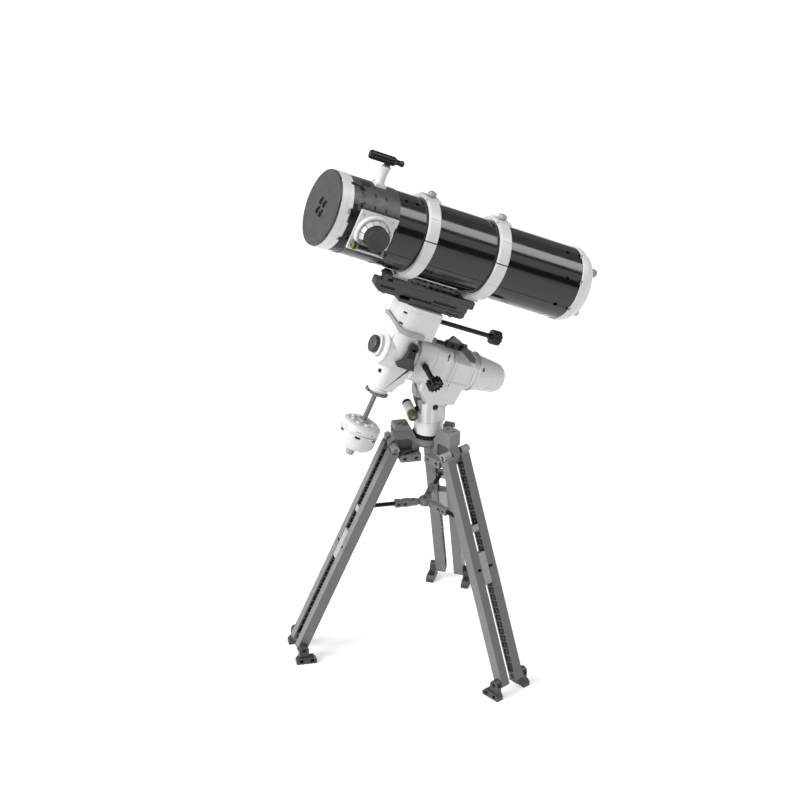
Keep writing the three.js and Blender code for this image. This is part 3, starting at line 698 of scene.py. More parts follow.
def bolt():
    """T-handle: a white sleeve with a black cap at the far end and olive and dark rings at the near end."""
    tilt = 16 * DEG
    origin = place("latitude_bolt_turn")
    across = Vector((0, -math.cos(tilt), -math.sin(tilt)))
    add = riding("latitude_bolt", basis(origin, EAST, across, EAST.cross(across)))
    sleeve = lathe([(0, -8.6), (5.3, -8.6), (5.3, 3.6), (4.9, 4), (0, 4)], "Y", 64)
    add("latitude_bolt_sleeve", sleeve, WHITE, ("latitude_bolt",), 0.2)
    far = lathe([(0, -13.5), (3.8, -13.5), (5.0, -12.4), (5.3, -11), (5.3, -8.7), (0, -8.7)], "Y", 64)
    add("latitude_bolt_far_cap", far, BLACK, bevel=0.15)
    add("latitude_bolt_olive_ring", disc(5, 4.1, 6.4, "Y", 64), OLIVE, bevel=0.25)
    dark = lathe([(2.6, 6.5), (5, 6.5), (5.5, 7), (5.5, 12.6), (4.9, 13.5), (3.1, 13.5), (2.6, 12.6)],
                 "Y", 64, closed=True)
    add("latitude_bolt_dark_ring", dark, BRONZE, bevel=0.15, cuts=(box((4.2, 6), (8.4, 11.2), (-0.7, 0.7)),))
    centre = lathe([(0, 7), (2.55, 7), (2.55, 12.4), (2.0, 12.9), (0, 12.9)], "Y", 40)
    add("latitude_bolt_centre", centre, BRASS, bevel=0.1)
    piece("latitude_bolt_stem", axle_bar(3.5, 9), BLACK, bevel=0.15, body="latitude_bolt",
          here=basis(origin, EAST, NORTH, UP))


# ------------------------------------------------------------------ fixed polar housing
def ra_housing():
    """Two faceted blocks end to end over a tongue that hinges in the base, and the rear cap."""
    front = [(-19, -18), (-12, -25), (12, -25), (19, -18), (19, 12), (10, 21), (-10, 21), (-19, 12)]
    rear = [(-18, -14), (-10, -21), (10, -21), (18, -14), (18, 10), (8, 20), (-8, 20), (-18, 10)]
    x, z = 65.1, -45.65
    skirt = [(37, -14), (85, -12), (82.6, -36.4), (60, -41.8), (55, -44.2), (38, -31)]
    tongue = [(36, -20), (86, -20), (84.6, -38), (74, -50)] + arc((x, z), 8.5, -40, -130, 12)
    tongue += [(57, -49.5), (40, -33)]
    joins = (prism(rear, 59, 90, "YZ"), prism([(38, -16), (84, -16), (82.8, -32), (40, -31)], -17, 17),
             *[prism(skirt, *sided(s, 16.4, 18.9)) for s in (-1, 1)], prism(tongue, -9.6, 9.6))
    bores = merge(rod((0, 0, 0), (120, 0, 0), AXIS_BORE, sides=64), rod((x, -20, z), (x, 20, z), PIN_BORE))
    dots = merge(box((53.0, 54.6), (-20, -17.6), (9.6, 17.5)),
                 rod((66.6, -20, -16.5), (66.6, -16.8, -16.5), 0.9, sides=20),
                 rod((28.6, -20, -0.9), (28.6, -17.4, -0.9), 2.9), rod((45, -20, -13), (45, -18.2, -13), 2.4),
                 rod((45, 18.2, -13), (45, 20, -13), 2.4),
                 box((72, 76), (-14, -9), (19.6, 21)), box((72, 76), (9, 14), (19.6, 21)))
    lines = [shell_groove(front, 41.0), shell_groove(rear, 63.6), shell_groove(rear, 67.0),
             box((57.2, 58.6), (-20, -15), (-47, -42.6)), box((60, 84), (-19.4, -18.6), (-33.2, -32.9))]
    on_latitude("ra_housing_body", prism(front, 20.4, 59.6, "YZ"), WHITE, ("ra_housing",), 0.45, joins=joins,
                cuts=(bores, dots), engraved=lines)
    # black floor in the slot: painted shade
    on_latitude("ra_housing_slot_floor", box((53.05, 54.55), (-17.8, -17.2), (9.7, 17.4)), BLACK, bevel=0)
    fin = prism([(39.5, -33.6), (37.4, -32), (42.4, -43.6), (50, -43.6), (46, -38.6)], -6.1, 6.1)
    on_latitude("ra_housing_fin", fin, LIGHT)
    on_latitude("ra_housing_notch", box((54.8, 57.6), (-9.95, -8), (-48.5, -44)), STAND_GREY)

    cap = lathe([(0, 90.3), (20.2, 90.3), (20.5, 90.8), (20.5, 94), (20.3, 94.4), (16.1, 125.4),
                 (15.6, 126.6), (13.2, 130.6), (12.4, 131.2), (9, 132.4), (0, 132.8)], "X", 128)
    angles = (57.2, 147.2, 237.2, 327.2)
    marks = [spun(box((98.8, 101), (-2.2, 2.2), (18, 22)), angle) for angle in angles]
    rings = [band(17.7, 19.5, 112.6, 112.9, "X", 128), band(20.2, 22, 94.5, 94.8, "X", 128)]
    on_latitude("ra_rear_cap_shell", cap, WHITE, ("ra_rear_cap",), 0.25, engraved=(*marks, *rings),
                cuts=(rod((80, 0, 0), (104, 0, 0), AXIS_BORE, sides=64),))
    # black floors in the marks: painted shade
    shade_floors = [spun(box((98.85, 100.95), (-2.15, 2.15), (17.9, 18.9)), angle) for angle in angles]
    on_latitude("ra_rear_cap_mark_floors", merge(*shade_floors), BLACK, bevel=0)


def shell_groove(section, at, width=0.35, depth=0.5):
    """A closed band round a faceted section: cuts a groove of that depth into its skin."""
    outer = [(u * 1.3, v * 1.3) for u, v in section]
    inner = [(u - depth * math.copysign(1, u), v - depth * math.copysign(1, v)) for u, v in section]
    corners = ((outer, at), (outer, at + width), (inner, at + width), (inner, at))
    return hoop(*[[(x, u, v) for u, v in points] for points, x in corners])


def ra_controls():
    """The clamp: an axle, a pin joiner with a pointed crest and a paddle; and the slow-motion wheel."""
    add = riding("ra_clamp_lever", polar_at("ra_clamp_turn"))
    add("ra_clamp_axle", axle_bar(0, 36), BLACK, ("ra_clamp_lever",), 0.15)
    collar = rod((-1.2, 0, 0), (4, 0, 0), 3.4, sides=40)
    add("ra_clamp_collar", collar, STAND_GREY, joins=(rod((0, 0, 0), (0.6, 0, 3.6), 2.2),))
    knuckle = prism([(17, -2.6), (39, -2.6), (39, 3), (38, 4.2), (18, 4.2), (17, 3)], -3.6, 3.6)
    add("ra_clamp_knuckle", knuckle, BLACK, bevel=0.4,
        cuts=(merge(*[rod((x, -8, 0.7), (x, 8, 0.7), 1.9) for x in (24, 33)]),))
    crest = prism([(18.4, 3.6), (22.2, 10.4), (24.2, 10.4), (34, 7), (35.6, 3.6)], -2.6, 2.6)
    # crest and sleeve take the darker copy of stand grey: painted shade
    add("ra_clamp_crest", crest, STAND_GREY_PAINTED_SHADE, bevel=0.35)
    sleeve = lathe([(1.2, 36), (3.1, 36), (3.4, 36.4), (3.4, 41.6), (3.1, 42), (1.2, 42)], "X", 40,
                   closed=True)
    add("ra_clamp_sleeve", moved(sleeve, z=2.4), STAND_GREY_PAINTED_SHADE, bevel=0.25)
    paddle = prism([(34, 0), (36, 4), (42, 3.6), (55.4, -5.4), (56, -9.8), (49.6, -9.6)], -8.0, -3.8)
    add("ra_clamp_paddle", paddle, DARK, bevel=0.5)

    axis = direction("ra_slow_motion_turn")
    side = axis.cross(UP).normalized()
    add = riding("ra_slow_motion_knob", basis(place("ra_slow_motion_turn"), axis, side, axis.cross(side)))
    add("ra_slow_motion_axle", axle_bar(0, 25.6), BLACK, ("ra_slow_motion_knob",), 0.15)
    sleeve = lathe([(2.45, 1.4), (3.2, 1.4), (3.5, 1.8), (3.5, 6.2), (3, 6.8), (3, 22), (3.4, 22.4),
                    (3.4, 24.6), (2.45, 24.6)], "X", 40, closed=True)
    add("ra_slow_motion_sleeve", sleeve, BLACK, bevel=0.15)
    tooth = TURN / 12
    rim = toothed(12, ((6.5, 0), (8.8, 0.2 * tooth), (8.8, 0.55 * tooth), (6.5, 0.75 * tooth)))
    spots = [circle_point(4.3, 0.4 + quarter * TURN / 4) for quarter in range(4)]
    holes = merge(*[rod((20, u, v), (36, u, v), 1.1, sides=20) for u, v in spots])
    add("ra_slow_motion_wheel", prism(rim, 25, 33, "YZ"), BLACK, bevel=0.25,
        cuts=(holes, band(2.9, 6.2, 32.1, 36, "X", 48)))


# ------------------------------------------------------------------ turning polar head
def dec_housing():
    """Barrel, drum and neck of the declination housing, with the seams of its bricks."""
    barrel = lathe([(0, -22), (11, -22), (11, -19), (17.2, -19), (18.5, -17.4), (18.5, 20), (0, 20)],
                   "X", 128)
    drum = lathe([(0, -14), (15, -14), (19, -4), (19, 25), (0, 25)], "Z", 128)
    neck = lathe([(0, -50), (10, -50), (10.5, -49.5), (12, -46), (12, 0), (0, 0)], "Z")
    web = prism([(0, -44), (11, -44), (14, -37), (20, -30), (20, 10), (0, 10)], -12, 12)
    window = spun(box((10.6, 15), (-2.2, 2.2), (-27.4, -23)), -148, "Z")
    lines = (band(18.1, 20, -15.6, -15.2, "X", 128), band(11.5, 14, -44.6, -44.2, "Z"),
             spun(box((-20, -17.6), (-0.3, 0.3), (-12, 20)), 40, "Z"))
    on_head("dec_housing_body", barrel, WHITE, ("dec_housing",), 0.4, joins=(drum, neck, web), engraved=lines,
            cuts=(rod((0, 0, -30), (0, 0, 40), AXIS_BORE, sides=64), window))
    # black floor in the window: painted shade
    floor = spun(box((10.3, 10.95), (-2.15, 2.15), (-27.35, -23.05)), -148, "Z")
    on_head("dec_housing_window_floor", floor, BLACK, bevel=0)
    collar = lathe([(9.4, -52.4), (12.6, -52.4), (13, -52), (13, -50.4), (12.6, -50.1), (9.4, -50.1)], "Z",
                   closed=True)
    gap = spun(box((-20, 20), (-1.2, 1.2), (-54, -48)), 25, "Z")
    on_head("dec_split_ring", collar, STAND_GREY, bevel=0.2, cuts=(gap,))
    flange = lathe([(8, -23.4), (11.4, -23.4), (12, -22.9), (12, -22.1), (8, -22.1)], closed=True)
    on_head("dec_front_flange", flange, WHITE, bevel=0.2)


def head_plan(radius, back):
    """Outline of the declination head seen along its axis: round in front, square behind."""
    return [(back, -radius), (back, radius)] + arc((HEAD_X, 0), radius, 90, 270, 48)


def dec_head():
    """The head under the saddle, and the grey collar that sweeps round its foot."""
    windows = ((-15.8, 47.8), (-15.7, 35.5))
    slots = merge(*[window_on_front(x, z, 4.4, 2.1, (-1.4, 3)) for x, z in windows])
    groove = hoop(*[[(u, v, level) for u, v in head_plan(HEAD_RADIUS + out, 25 + out)]
                    for out, level in ((3, 52.2), (3, 52.45), (-0.35, 52.45), (-0.35, 52.2))])
    on_head("dec_head_body", prism(head_plan(HEAD_RADIUS, 25), 25.3, 57, "XY"), WHITE, ("dec_head",), 0.45,
            cuts=(rod((0, 0, 20), (0, 0, 60), AXIS_BORE, sides=64), slots), engraved=(groove,))
    # black floors in the windows: painted shade
    shade_floors = merge(*[window_on_front(x, z, 4.35, 2.05, (-1.5, -0.6)) for x, z in windows])
    on_head("dec_head_window_floors", shade_floors, BLACK, bevel=0)
    above = [(60, 30.8), (-6, 30.8), (-16, 32), (-27.5, 40.5), (-40, 44), (-40, 80), (60, 80)]
    below = [(60, 25.4), (-4, 25.4), (-15, 26.4), (-27, 36.5), (-40, 41), (-60, 0), (60, 0)]
    on_head("dec_head_collar", prism(head_plan(25.4, 13), 24, 42, "XY"), LIGHT,
            cuts=(prism(head_plan(22.15, 40), 20, 60, "XY"), prism(above, -60, 60), prism(below, -60, 60)))


def window_on_front(x, z, width, height, depths):
    """A block across the head's round front, at that x on the camera side: a slot's cutter, or the black
    floor that paints the slot's shade.
    """
    angle = math.acos((x - HEAD_X) / HEAD_RADIUS)
    u, v = circle_point(HEAD_RADIUS, -angle)
    where = Matrix.Translation((HEAD_X + u, v, z)) @ Matrix.Rotation(-angle, 4, "Z")
    return placed(box(depths, about(0, width / 2), about(0, height / 2)), where)


def head_controls():
    """The front cap, the declination clamp and the declination slow-motion rod with its grip."""
    face = lathe([(0, -5), (8.6, -5), (9.5, -4.2), (9.5, -1.2), (8.9, -0.6), (4, -0.6), (4, 1.7), (0, 1.7)])
    grips = merge(*[spun(box((-6, 0), (-0.7, 0.7), (8.9, 11)), k * 30) for k in range(12)])
    piece("front_cap_disc", face, DARK, ("front_cap_knob",), cuts=(grips,), body="front_cap_knob",
          here=polar_at("front_cap_turn"))

    add = riding("dec_clamp_lever", polar_at("dec_clamp_turn"))
    arm = [(-4.6, -1), (-5, -9.6), (-6.1, -15.5), (-13.8, -20.6), (-10.8, -24), (9.9, -24.3), (5.4, -14.7),
           (4, -6), (3.6, -1)]
    x, z = -0.8, -0.3
    hollow = prism([(-3.4, -17), (4.4, -17), (7.4, -22.6), (-9.4, -22.4)], -5.5, -4.1)
    add("dec_clamp_arm", prism(arm, -4.4, 0.4), DARK, ("dec_clamp_lever",), 0.45, cuts=(hollow,),
        joins=(rod((x, 0.4, z), (x, -3.4, z), 5.15, sides=64),))
    add("dec_clamp_hub", rod((x, -3.5, z), (x, -5.6, z), 5.1, 4.8, sides=64), BLACK,
        cuts=(rod((x, -4.4, z), (x, -6.5, z), 2.7, sides=40),),
        joins=(prism([(-4, -3), (-4, -11.6), (3, -11.6), (3, -3)], -5.3, -4.0),))

    add = riding("dec_slow_motion_knob", polar_at("dec_slow_motion_turn"))
    add("dec_slow_motion_axle", axle_bar(0, 66, 2.6, 1.15), BLACK, ("dec_slow_motion_knob",), 0.15)
    rim = []
    for angle in range(0, 360, 36):
        rim += arc((0, 0), 7.9, angle - 10, angle + 10, 4) + arc((0, 0), 6.9, angle + 14, angle + 22, 2)
    add("dec_slow_motion_grip", prism(rim, 65, 75.6, "YZ"), BLACK, bevel=0.4,
        joins=(disc(3.4, 64, 65.4, "X", 40),), cuts=(disc(5.2, 74.8, 78, "X", 40),))


def counterweight():
    """The bar with its flange, the stacked discs of the weight and the ball at the bar's end."""
    on_head("counterweight_bar", disc(2.7, -119, -53.1, "Z", 48), STAND_GREY, ("counterweight_shaft",), 0.2)
    flange = lathe([(0, -53), (8.6, -53), (9.2, -52.6), (9.2, -50.3), (0, -50.3)], "Z", 72)
    on_head("counterweight_flange", flange, STAND_GREY, bevel=0.2)
    discs = lathe([(3.1, -118), (15.4, -118), (17.4, -117.2), (20.9, -113.2), (21.5, -111.6), (21.5, -99.4),
                   (21, -98.9), (19.8, -98.7), (19.8, -97.3), (21, -97.1), (21.5, -96.6), (21.5, -91.4),
                   (20.8, -90), (18, -88.4), (16.6, -88), (3.1, -88)], "Z", 128, closed=True)
    low, high = range(8, 368, 60), range(20, 380, 45)
    slots = merge(*[spun(box((20.2, 23), (-3.2, 3.2), (-102.6, -99.9)), angle, "Z") for angle in low])
    upper = merge(*[spun(box((20.6, 23), (-2.2, 2.2), (-95.4, -94.6)), angle, "Z") for angle in high])
    on_weight("counterweight_discs", discs, WHITE, ("counterweight",), cuts=(slots,), engraved=(upper,))
    # black floors in the slots: painted shade
    shade_floors = [spun(box((19.6, 20.35), (-3.1, 3.1), (-102.5, -100)), angle, "Z") for angle in low]
    shade_floors += [spun(box((20.2, 20.75), (-2.1, 2.1), (-95.35, -94.65)), angle, "Z") for angle in high]
    on_weight("counterweight_slot_floors", merge(*shade_floors), BLACK, bevel=0)
    studs = [spun(rod((12.2, 0, -88.2), (12.2, 0, -86.4), 2.4, sides=28), k * 45, "Z") for k in range(8)]
    on_weight("counterweight_studs", merge(*studs), WHITE, bevel=0.25)
    collar = lathe([(2.9, -88.1), (5.6, -88.1), (5.6, -85.9), (5.2, -85.5), (2.9, -85.5)], "Z", 56,
                   closed=True)
    on_weight("counterweight_collar", collar, LIGHT, bevel=0.2)
    ball = lathe([(0, -129), (2.4, -128.8), (4.2, -127.6), (5, -125.6), (5, -122), (4, -120.2), (2.8, -119.3),
                  (0, -119.3)], "Z", 64)
    piece("shaft_end_ball", ball, LIGHT, ("shaft_end_knob",), 0, body="shaft_end_knob", here=POLAR,
          cuts=(rod((0, 0, -130), (0, 0, -126.8), 1.6),))


# ------------------------------------------------------------------ saddle, dovetail and rings
def pin_head(x, y, top):
    return rod((x, y, top - 1.6), (x, y, top - 0.05), 2.2, 2.6)


def saddle():
    """The dark plate on the declination axle."""
    on_saddle = riding("declination", POLAR)
    plate = [(-28, 57.3), (47, 57.3), (51, 59.6), (51, 64), (-16.6, 64), (-16.6, 61), (-28, 61)]
    slots = merge(box((28, 44), (-18, -14.6), (59.4, 61.2)), box((28, 44), (14.6, 18), (59.4, 61.2)))
    on_saddle("saddle_plate", prism(plate, -16, 16), DARK, ("saddle",), 0.35, cuts=(slots,),
              joins=(rod((0, 0, -20), (0, 0, 60), 6, sides=64),))
    on_saddle("saddle_pin_heads", merge(*[pin_head(36.5, y, 57.3) for y in (-12.4, 12.4)]), TAN, bevel=0.15)


def dovetail():
    """The dark bar between the saddle and the rings, narrowed in front for the stop knob."""
    side = [(-62, 71.6), (-61.2, 66.6), (-54, 61.4), (-29.2, 61.4), (-29.2, 64.3), (51.6, 64.3), (51.6, 70.6),
            (57, 70.6), (57, 79), (-56, 79), (-61, 77.4)]
    pockets = [((-54.6, -38), (67.2, 69.6)), ((9.6, 38), (66.8, 69.2)), ((-26.4, 8.4), (64, 66.4))]
    slots, lines, shade_floors = [], [], []
    for s in (-1, 1):
        slots += [box(xs, sided(s, 14.2, 17), zs) for xs, zs in pockets]
        lines.append(box((-61, 57), sided(s, 15.7, 17), (74.6, 74.85)))
    # black floors in the pockets: painted shade in the gaps between bar and saddle
    for (x0, x1), (z0, z1) in pockets:
        for s in (-1, 1):
            if s < 0 or x0 > -43:
                shade_floors.append(box((x0 + 0.05, x1 - 0.05), sided(s, 13.9, 14.6),
                                  (max(z0, 64.4) + 0.05, z1 - 0.05)))
    front = (-70, -43.4)
    tops = merge(box((-20, 38), (-11.5, -6.5), (77.6, 80)), box((-20, 38), (6.5, 11.5), (77.6, 80)))
    on_dovetail("dovetail_body", prism(side, -16, 16), DARK, ("dovetail_bar",), 0.5, engraved=lines,
                cuts=(merge(*slots), box(front, (-5, 20), (50, 90)), box(front, (-20, 20), (75.4, 90)), tops))
    on_dovetail("dovetail_slot_floors", merge(*shade_floors), BLACK, bevel=0)
    on_dovetail("dovetail_scale", box((4, 39), (-5.2, -3.9), (79.02, 80.8)), LIGHT, bevel=0.2)
    studs = [rod((x, y, 77.6), (x, y, 79.3), 2.4, sides=24) for x in stations(-16, 36, STUD) for y in (-9, 9)]
    on_dovetail("dovetail_studs", merge(*studs), DARK, bevel=0.2)
    on_dovetail("dovetail_pin_head", pin_head(-47, -12, 61.4), TAN, bevel=0.15)
    low = -(place("dovetail_stop_turn") - POLAR @ Vector((-52.8, -14, 79.3))).length / MM
    profile = [(0, -3.8), (3.6, -3.8), (4, 0), (6.4, 2.7), (6.6, 3.1), (6.6, 3.8), (6.3, 4.3), (4.4, 6.6),
               (3.8, 6.9), (0, 6.9)]
    grips = merge(*[spun(box((5.9, 8), (-0.6, 0.6), (low - 1, low + 8)), k * 45, "Z") for k in range(8)])
    add = riding("dovetail_stop_knob", polar_at("dovetail_stop_turn"))
    add("dovetail_stop_grip", lathe([(radius, low + z) for radius, z in profile], "Z", 72), DARK,
        ("dovetail_stop_knob",), cuts=(grips,))


def ring(end, x):
    """A clamping ring in two parts, split on the camera side and hinged on the far side."""
    upper_body = f"ring_{end}_upper"
    for part, start, stop, marks in (("lower", -90, RING_SPLIT + 0.8, (108.3, 145, -108.3, -145)),
                                     ("upper", RING_SPLIT - 0.8, 270, (45, -45))):
        obj = new_object(f"ring_{end}_{part}_band", band(40.4, 44.8, *about(x, 6.2), "X", 224), TUBE)
        cut(obj, TUBE, pie_slice(start, stop, x))
        if part == "lower":
            outline = [(x - 8, -46.1), (x + 8, -46.1), (x + 8, -42.4), (x + 6.2, -40.4), (x - 6.2, -40.4),
                       (x - 8, -42.4)]
            shoe = new_object("shoe", prism(outline, -12, 12), TUBE)
            cut(shoe, TUBE, rod((x - 20, 0, 0), (x + 20, 0, 0), 40.4, sides=224))
            combine(obj, shoe, "UNION")
        else:
            outline = [(x - 9.5, 43), (x + 9.5, 43), (x + 9.5, 45.4), (x - 9.5, 45.4)]
            join(obj, TUBE, prism(outline, -9.5, 9.5))
        grooves = [spun(box(about(x, 7), (-0.2, 0.2), (44.2, 46)), angle) for angle in marks]
        soften(obj, 0.35, TUBE, grooves)
        finish_piece(obj, "dovetail" if part == "lower" else upper_body, WHITE, (f"ring_{end}_{part}",))
    knob = lathe([(0, 45.7), (3.4, 45.7), (4.4, 46.4), (4.8, 47.6), (4.8, 49.0), (4.2, 50.6), (2.8, 51.3),
                  (0, 51.4)], "Z", 64)
    piece(f"ring_{end}_knob_ball", moved(knob, x), LIGHT, (f"ring_{end}_knob",), 0,
          cuts=(rod((x, 0, 50.7), (x, 0, 53), 1.6),), body=f"ring_{end}_knob", here=TUBE)
    hinge = polar_at(f"ring_{end}_open")
    knuckles = merge(rod((-4.6, 0, 0), (-1.7, 0, 0), 1.5), rod((1.7, 0, 0), (4.6, 0, 0), 1.5))
    piece(f"ring_{end}_hinge_lower", knuckles, WHITE, bevel=0.25, body="dovetail", here=hinge)
    piece(f"ring_{end}_hinge_upper", rod((-1.5, 0, 0), (1.5, 0, 0), 1.5), WHITE, bevel=0.25, body=upper_body,
          here=hinge)


# ------------------------------------------------------------------ optical tube
def round_cuts(xs, width, depths, angles):
    """Blocks set into the tube's skin at those angles."""
    return [spun(box(xs, (-width, width), depths), angle) for angle in angles]


def optical_tube():
    """The black tube with its seams, pin holes, slots and the brick-built panel beside the focuser."""
    tools = round_cuts((-130, 150.4), 0.28, (39.5, 41), PANEL_ANGLES)
    tools += [spun(rod((133.5, 0, 37.6), (133.5, 0, 42), 2.4, sides=28), angle) for angle in PANEL_ANGLES]
    for x in (-66.0, -53.3):
        tools += round_cuts(about(x, 1.7), 2.0, (37.8, 42), (22.5, -22.5))
    tools += round_cuts((147.2, 152), 2.3, (38.2, 42), PANEL_ANGLES)
    tools += round_cuts((-130, -118), 1.3, (38.6, 42), (23.5,))
    for angle, width in ((26, 3.4), (34.5, 2.2), (44, 1.5), (54, 3.4)):
        tools += round_cuts((-119.6, -116.5), width, (37.4, 42), (angle,))
    tools.append(spun(rod((-15, 0, 38), (-15, 0, 42), 1.5, sides=24), 127.6))
    tools += round_cuts((80, 90), 0.8, (38, 42), (146,))
    tools += round_cuts((-130, -123.5), 5.2, (37.8, 42), (78,))
    tools += round_cuts((-130, -126), 2.4, (37.8, 42), (116,))
    on_tube("tube_shell", band(TUBE_BORE, TUBE_RADIUS, -128.7, 151, "X", FINE), TUBE_BLACK, ("tube",), 0.22,
            cuts=[rod((FOCUSER_X, -60, 0), (FOCUSER_X, -20, 0), 14, sides=64)] + tools)

    # the thin band behind the front ring has a jagged rear edge, and the panel a stepped front edge; both are
    # in a lighter grey that is a painted reflection of the bright light above
    teeth = [pie_slice(64, 338, -123)]
    for x, width, angle in ((-121.5, 2.4, 28), (-120.2, 1.6, 36), (-122.4, 1.2, 43), (-120.6, 2.6, 55)):
        teeth += round_cuts((x, -116), width, (38, 42), (angle,))
    teeth += round_cuts((-130, -116), 1.1, (38, 42), (22.5,)) + round_cuts((-130, -123), 4.6, (38, 42), (62,))
    on_tube("tube_front_collar", band(39.7, 40.3, -128.6, -118.4, "X", FINE), DARK_GREY_PAINTED_REFLECTION, bevel=0.15, cuts=teeth)
    slots = [pie_slice(57, 338, -95)] + round_cuts((-119, -115.2), 1.7, (38, 42), (28, 39.5, 51))
    for x in (-103.8, -91.0):
        slots += round_cuts(about(x, 1.1), 2.9, (38, 42), (34, 54))
    slots.append(spun(box((-119, -102), (-12, 7), (38, 42)), 2))
    # the panel takes the painted reflection grey
    on_tube("tube_front_panel", band(39.7, 40.45, -117.4, -74.5, "X", FINE), DARK_GREY_PAINTED_REFLECTION, bevel=0.2, cuts=slots)
    under = new_object("tube_under_band", band(39.8, 40.12, -128.6, -75, "X", FINE), TUBE)
    cut(under, TUBE, pie_slice(56, 338, -100))
    finish_piece(under, "tube", BLACK)


def front_end():
    """The white front ring with its notches, and the dust cap with four pockets."""
    notches = round_cuts((-132, -128), 2.4, (38.5, 43), PANEL_ANGLES)
    notches += round_cuts((-133.6, -128), 2.6, (38.5, 43), (70,))
    notches += round_cuts((-131.4, -128), 6, (38.5, 43), (77,))
    on_tube("front_ring_band", band(TUBE_BORE, 41, -142, -129, "X", FINE), WHITE, ("front_ring",), 0.35,
            cuts=notches, engraved=(band(40.7, 42, -135.6, -135.4, "X", FINE),))

    cap = lathe([(0, -145), (40.1, -145), (40.5, -144.6), (40.5, -142.3), (36.4, -142.3), (36.4, -136),
                 (0, -136)], "X", FINE)
    spots = [(y, z) for y in (-CAP_PITCH, CAP_PITCH) for z in (-CAP_PITCH, CAP_PITCH)]
    cuts, shade_floors = [], []
    for y, z in spots:
        cuts.append(box((-146, -143.6), (y - 4.2, y + 2.0), (z - 2.4, z + 4.2)))
        cuts.append(box((-146, -143.6), (y - 2.0, y + 4.2), (z - 4.4, z + 1.0)))
        shade_floors.append(box((-143.75, -143.3), about(y, 4.5), (z - 4.7, z + 4.5)))
    for angle, width in ((68, 6.5), (22, 2.2), (113, 2.2), (248, 6.5), (158, 2.2), (338, 2.2)):
        cuts += round_cuts((-144.2, -141), width, (38.6, 42), (angle,))
    add = riding("dust_cap", TUBE)
    # the cap takes the lighter copy of dark grey: painted light
    add("dust_cap_disc", cap, DARK_GREY_PAINTED_LIGHT, ("dust_cap",), 0.2, cuts=cuts)
    # black floors in the four pockets: painted shade
    add("dust_cap_pocket_floors", merge(*shade_floors), BLACK, bevel=0)


def rear_end():
    """The white mirror cell, its three collimation knobs and the primary mirror inside."""
    bolts = [circle_point(27, k * 120 * DEG) for k in range(3)]
    cell = lathe([(0, 163), (37, 163), (37, 151.3), (40.7, 151.3), (41, 151.6), (41, 157.6), (40.6, 158.6),
                  (36.2, 166.6), (35, 167.5), (28.4, 168.5), (27.6, 168.1), (27, 168.1), (26.4, 168.55),
                  (0, 168.6)], "X", FINE)
    cuts = [rod((150, y, z), (180, y, z), PIN_BORE, sides=40) for y, z in bolts]
    cuts += round_cuts((150, 153.6), 2.3, (38.4, 43), PANEL_ANGLES)
    cuts += round_cuts((164, 167), 3.2, (37.6, 43), range(0, 360, 45))
    on_tube("rear_cell_dome", cell, WHITE, ("rear_cell",), cuts=cuts)
    profile = [(0, 147.4), (2.3, 147.4), (2.3, 169.2), (4.4, 169.2), (4.6, 169.6), (4.6, 174.6),
               (4.0, 176.6), (0, 177)]
    for number, (y, z) in enumerate(bolts, 1):
        node = f"collimation_knob_{number}"
        grips = merge(*[spun(box((170, 176), (-0.35, 0.35), (4.2, 6)), k * 36) for k in range(10)])
        piece(f"{node}_head", lathe(profile, "X", 56), LIGHT, (node,), 0.15,
              cuts=(grips, box((175.4, 178), (-0.6, 0.6), (-2, 2))), body=node,
              here=TUBE @ Matrix.Translation((0, y, z)))
    dish = lathe([(0, 140.5), (8, 140.42), (16, 140.1), (24, 139.6), (31, 138.9), (34.6, 138.5), (35, 138.8),
                  (35, 147), (0, 147)], "X", 192)
    on_tube("primary_mirror_disc", dish, MIRROR, ("primary_mirror",), 0)


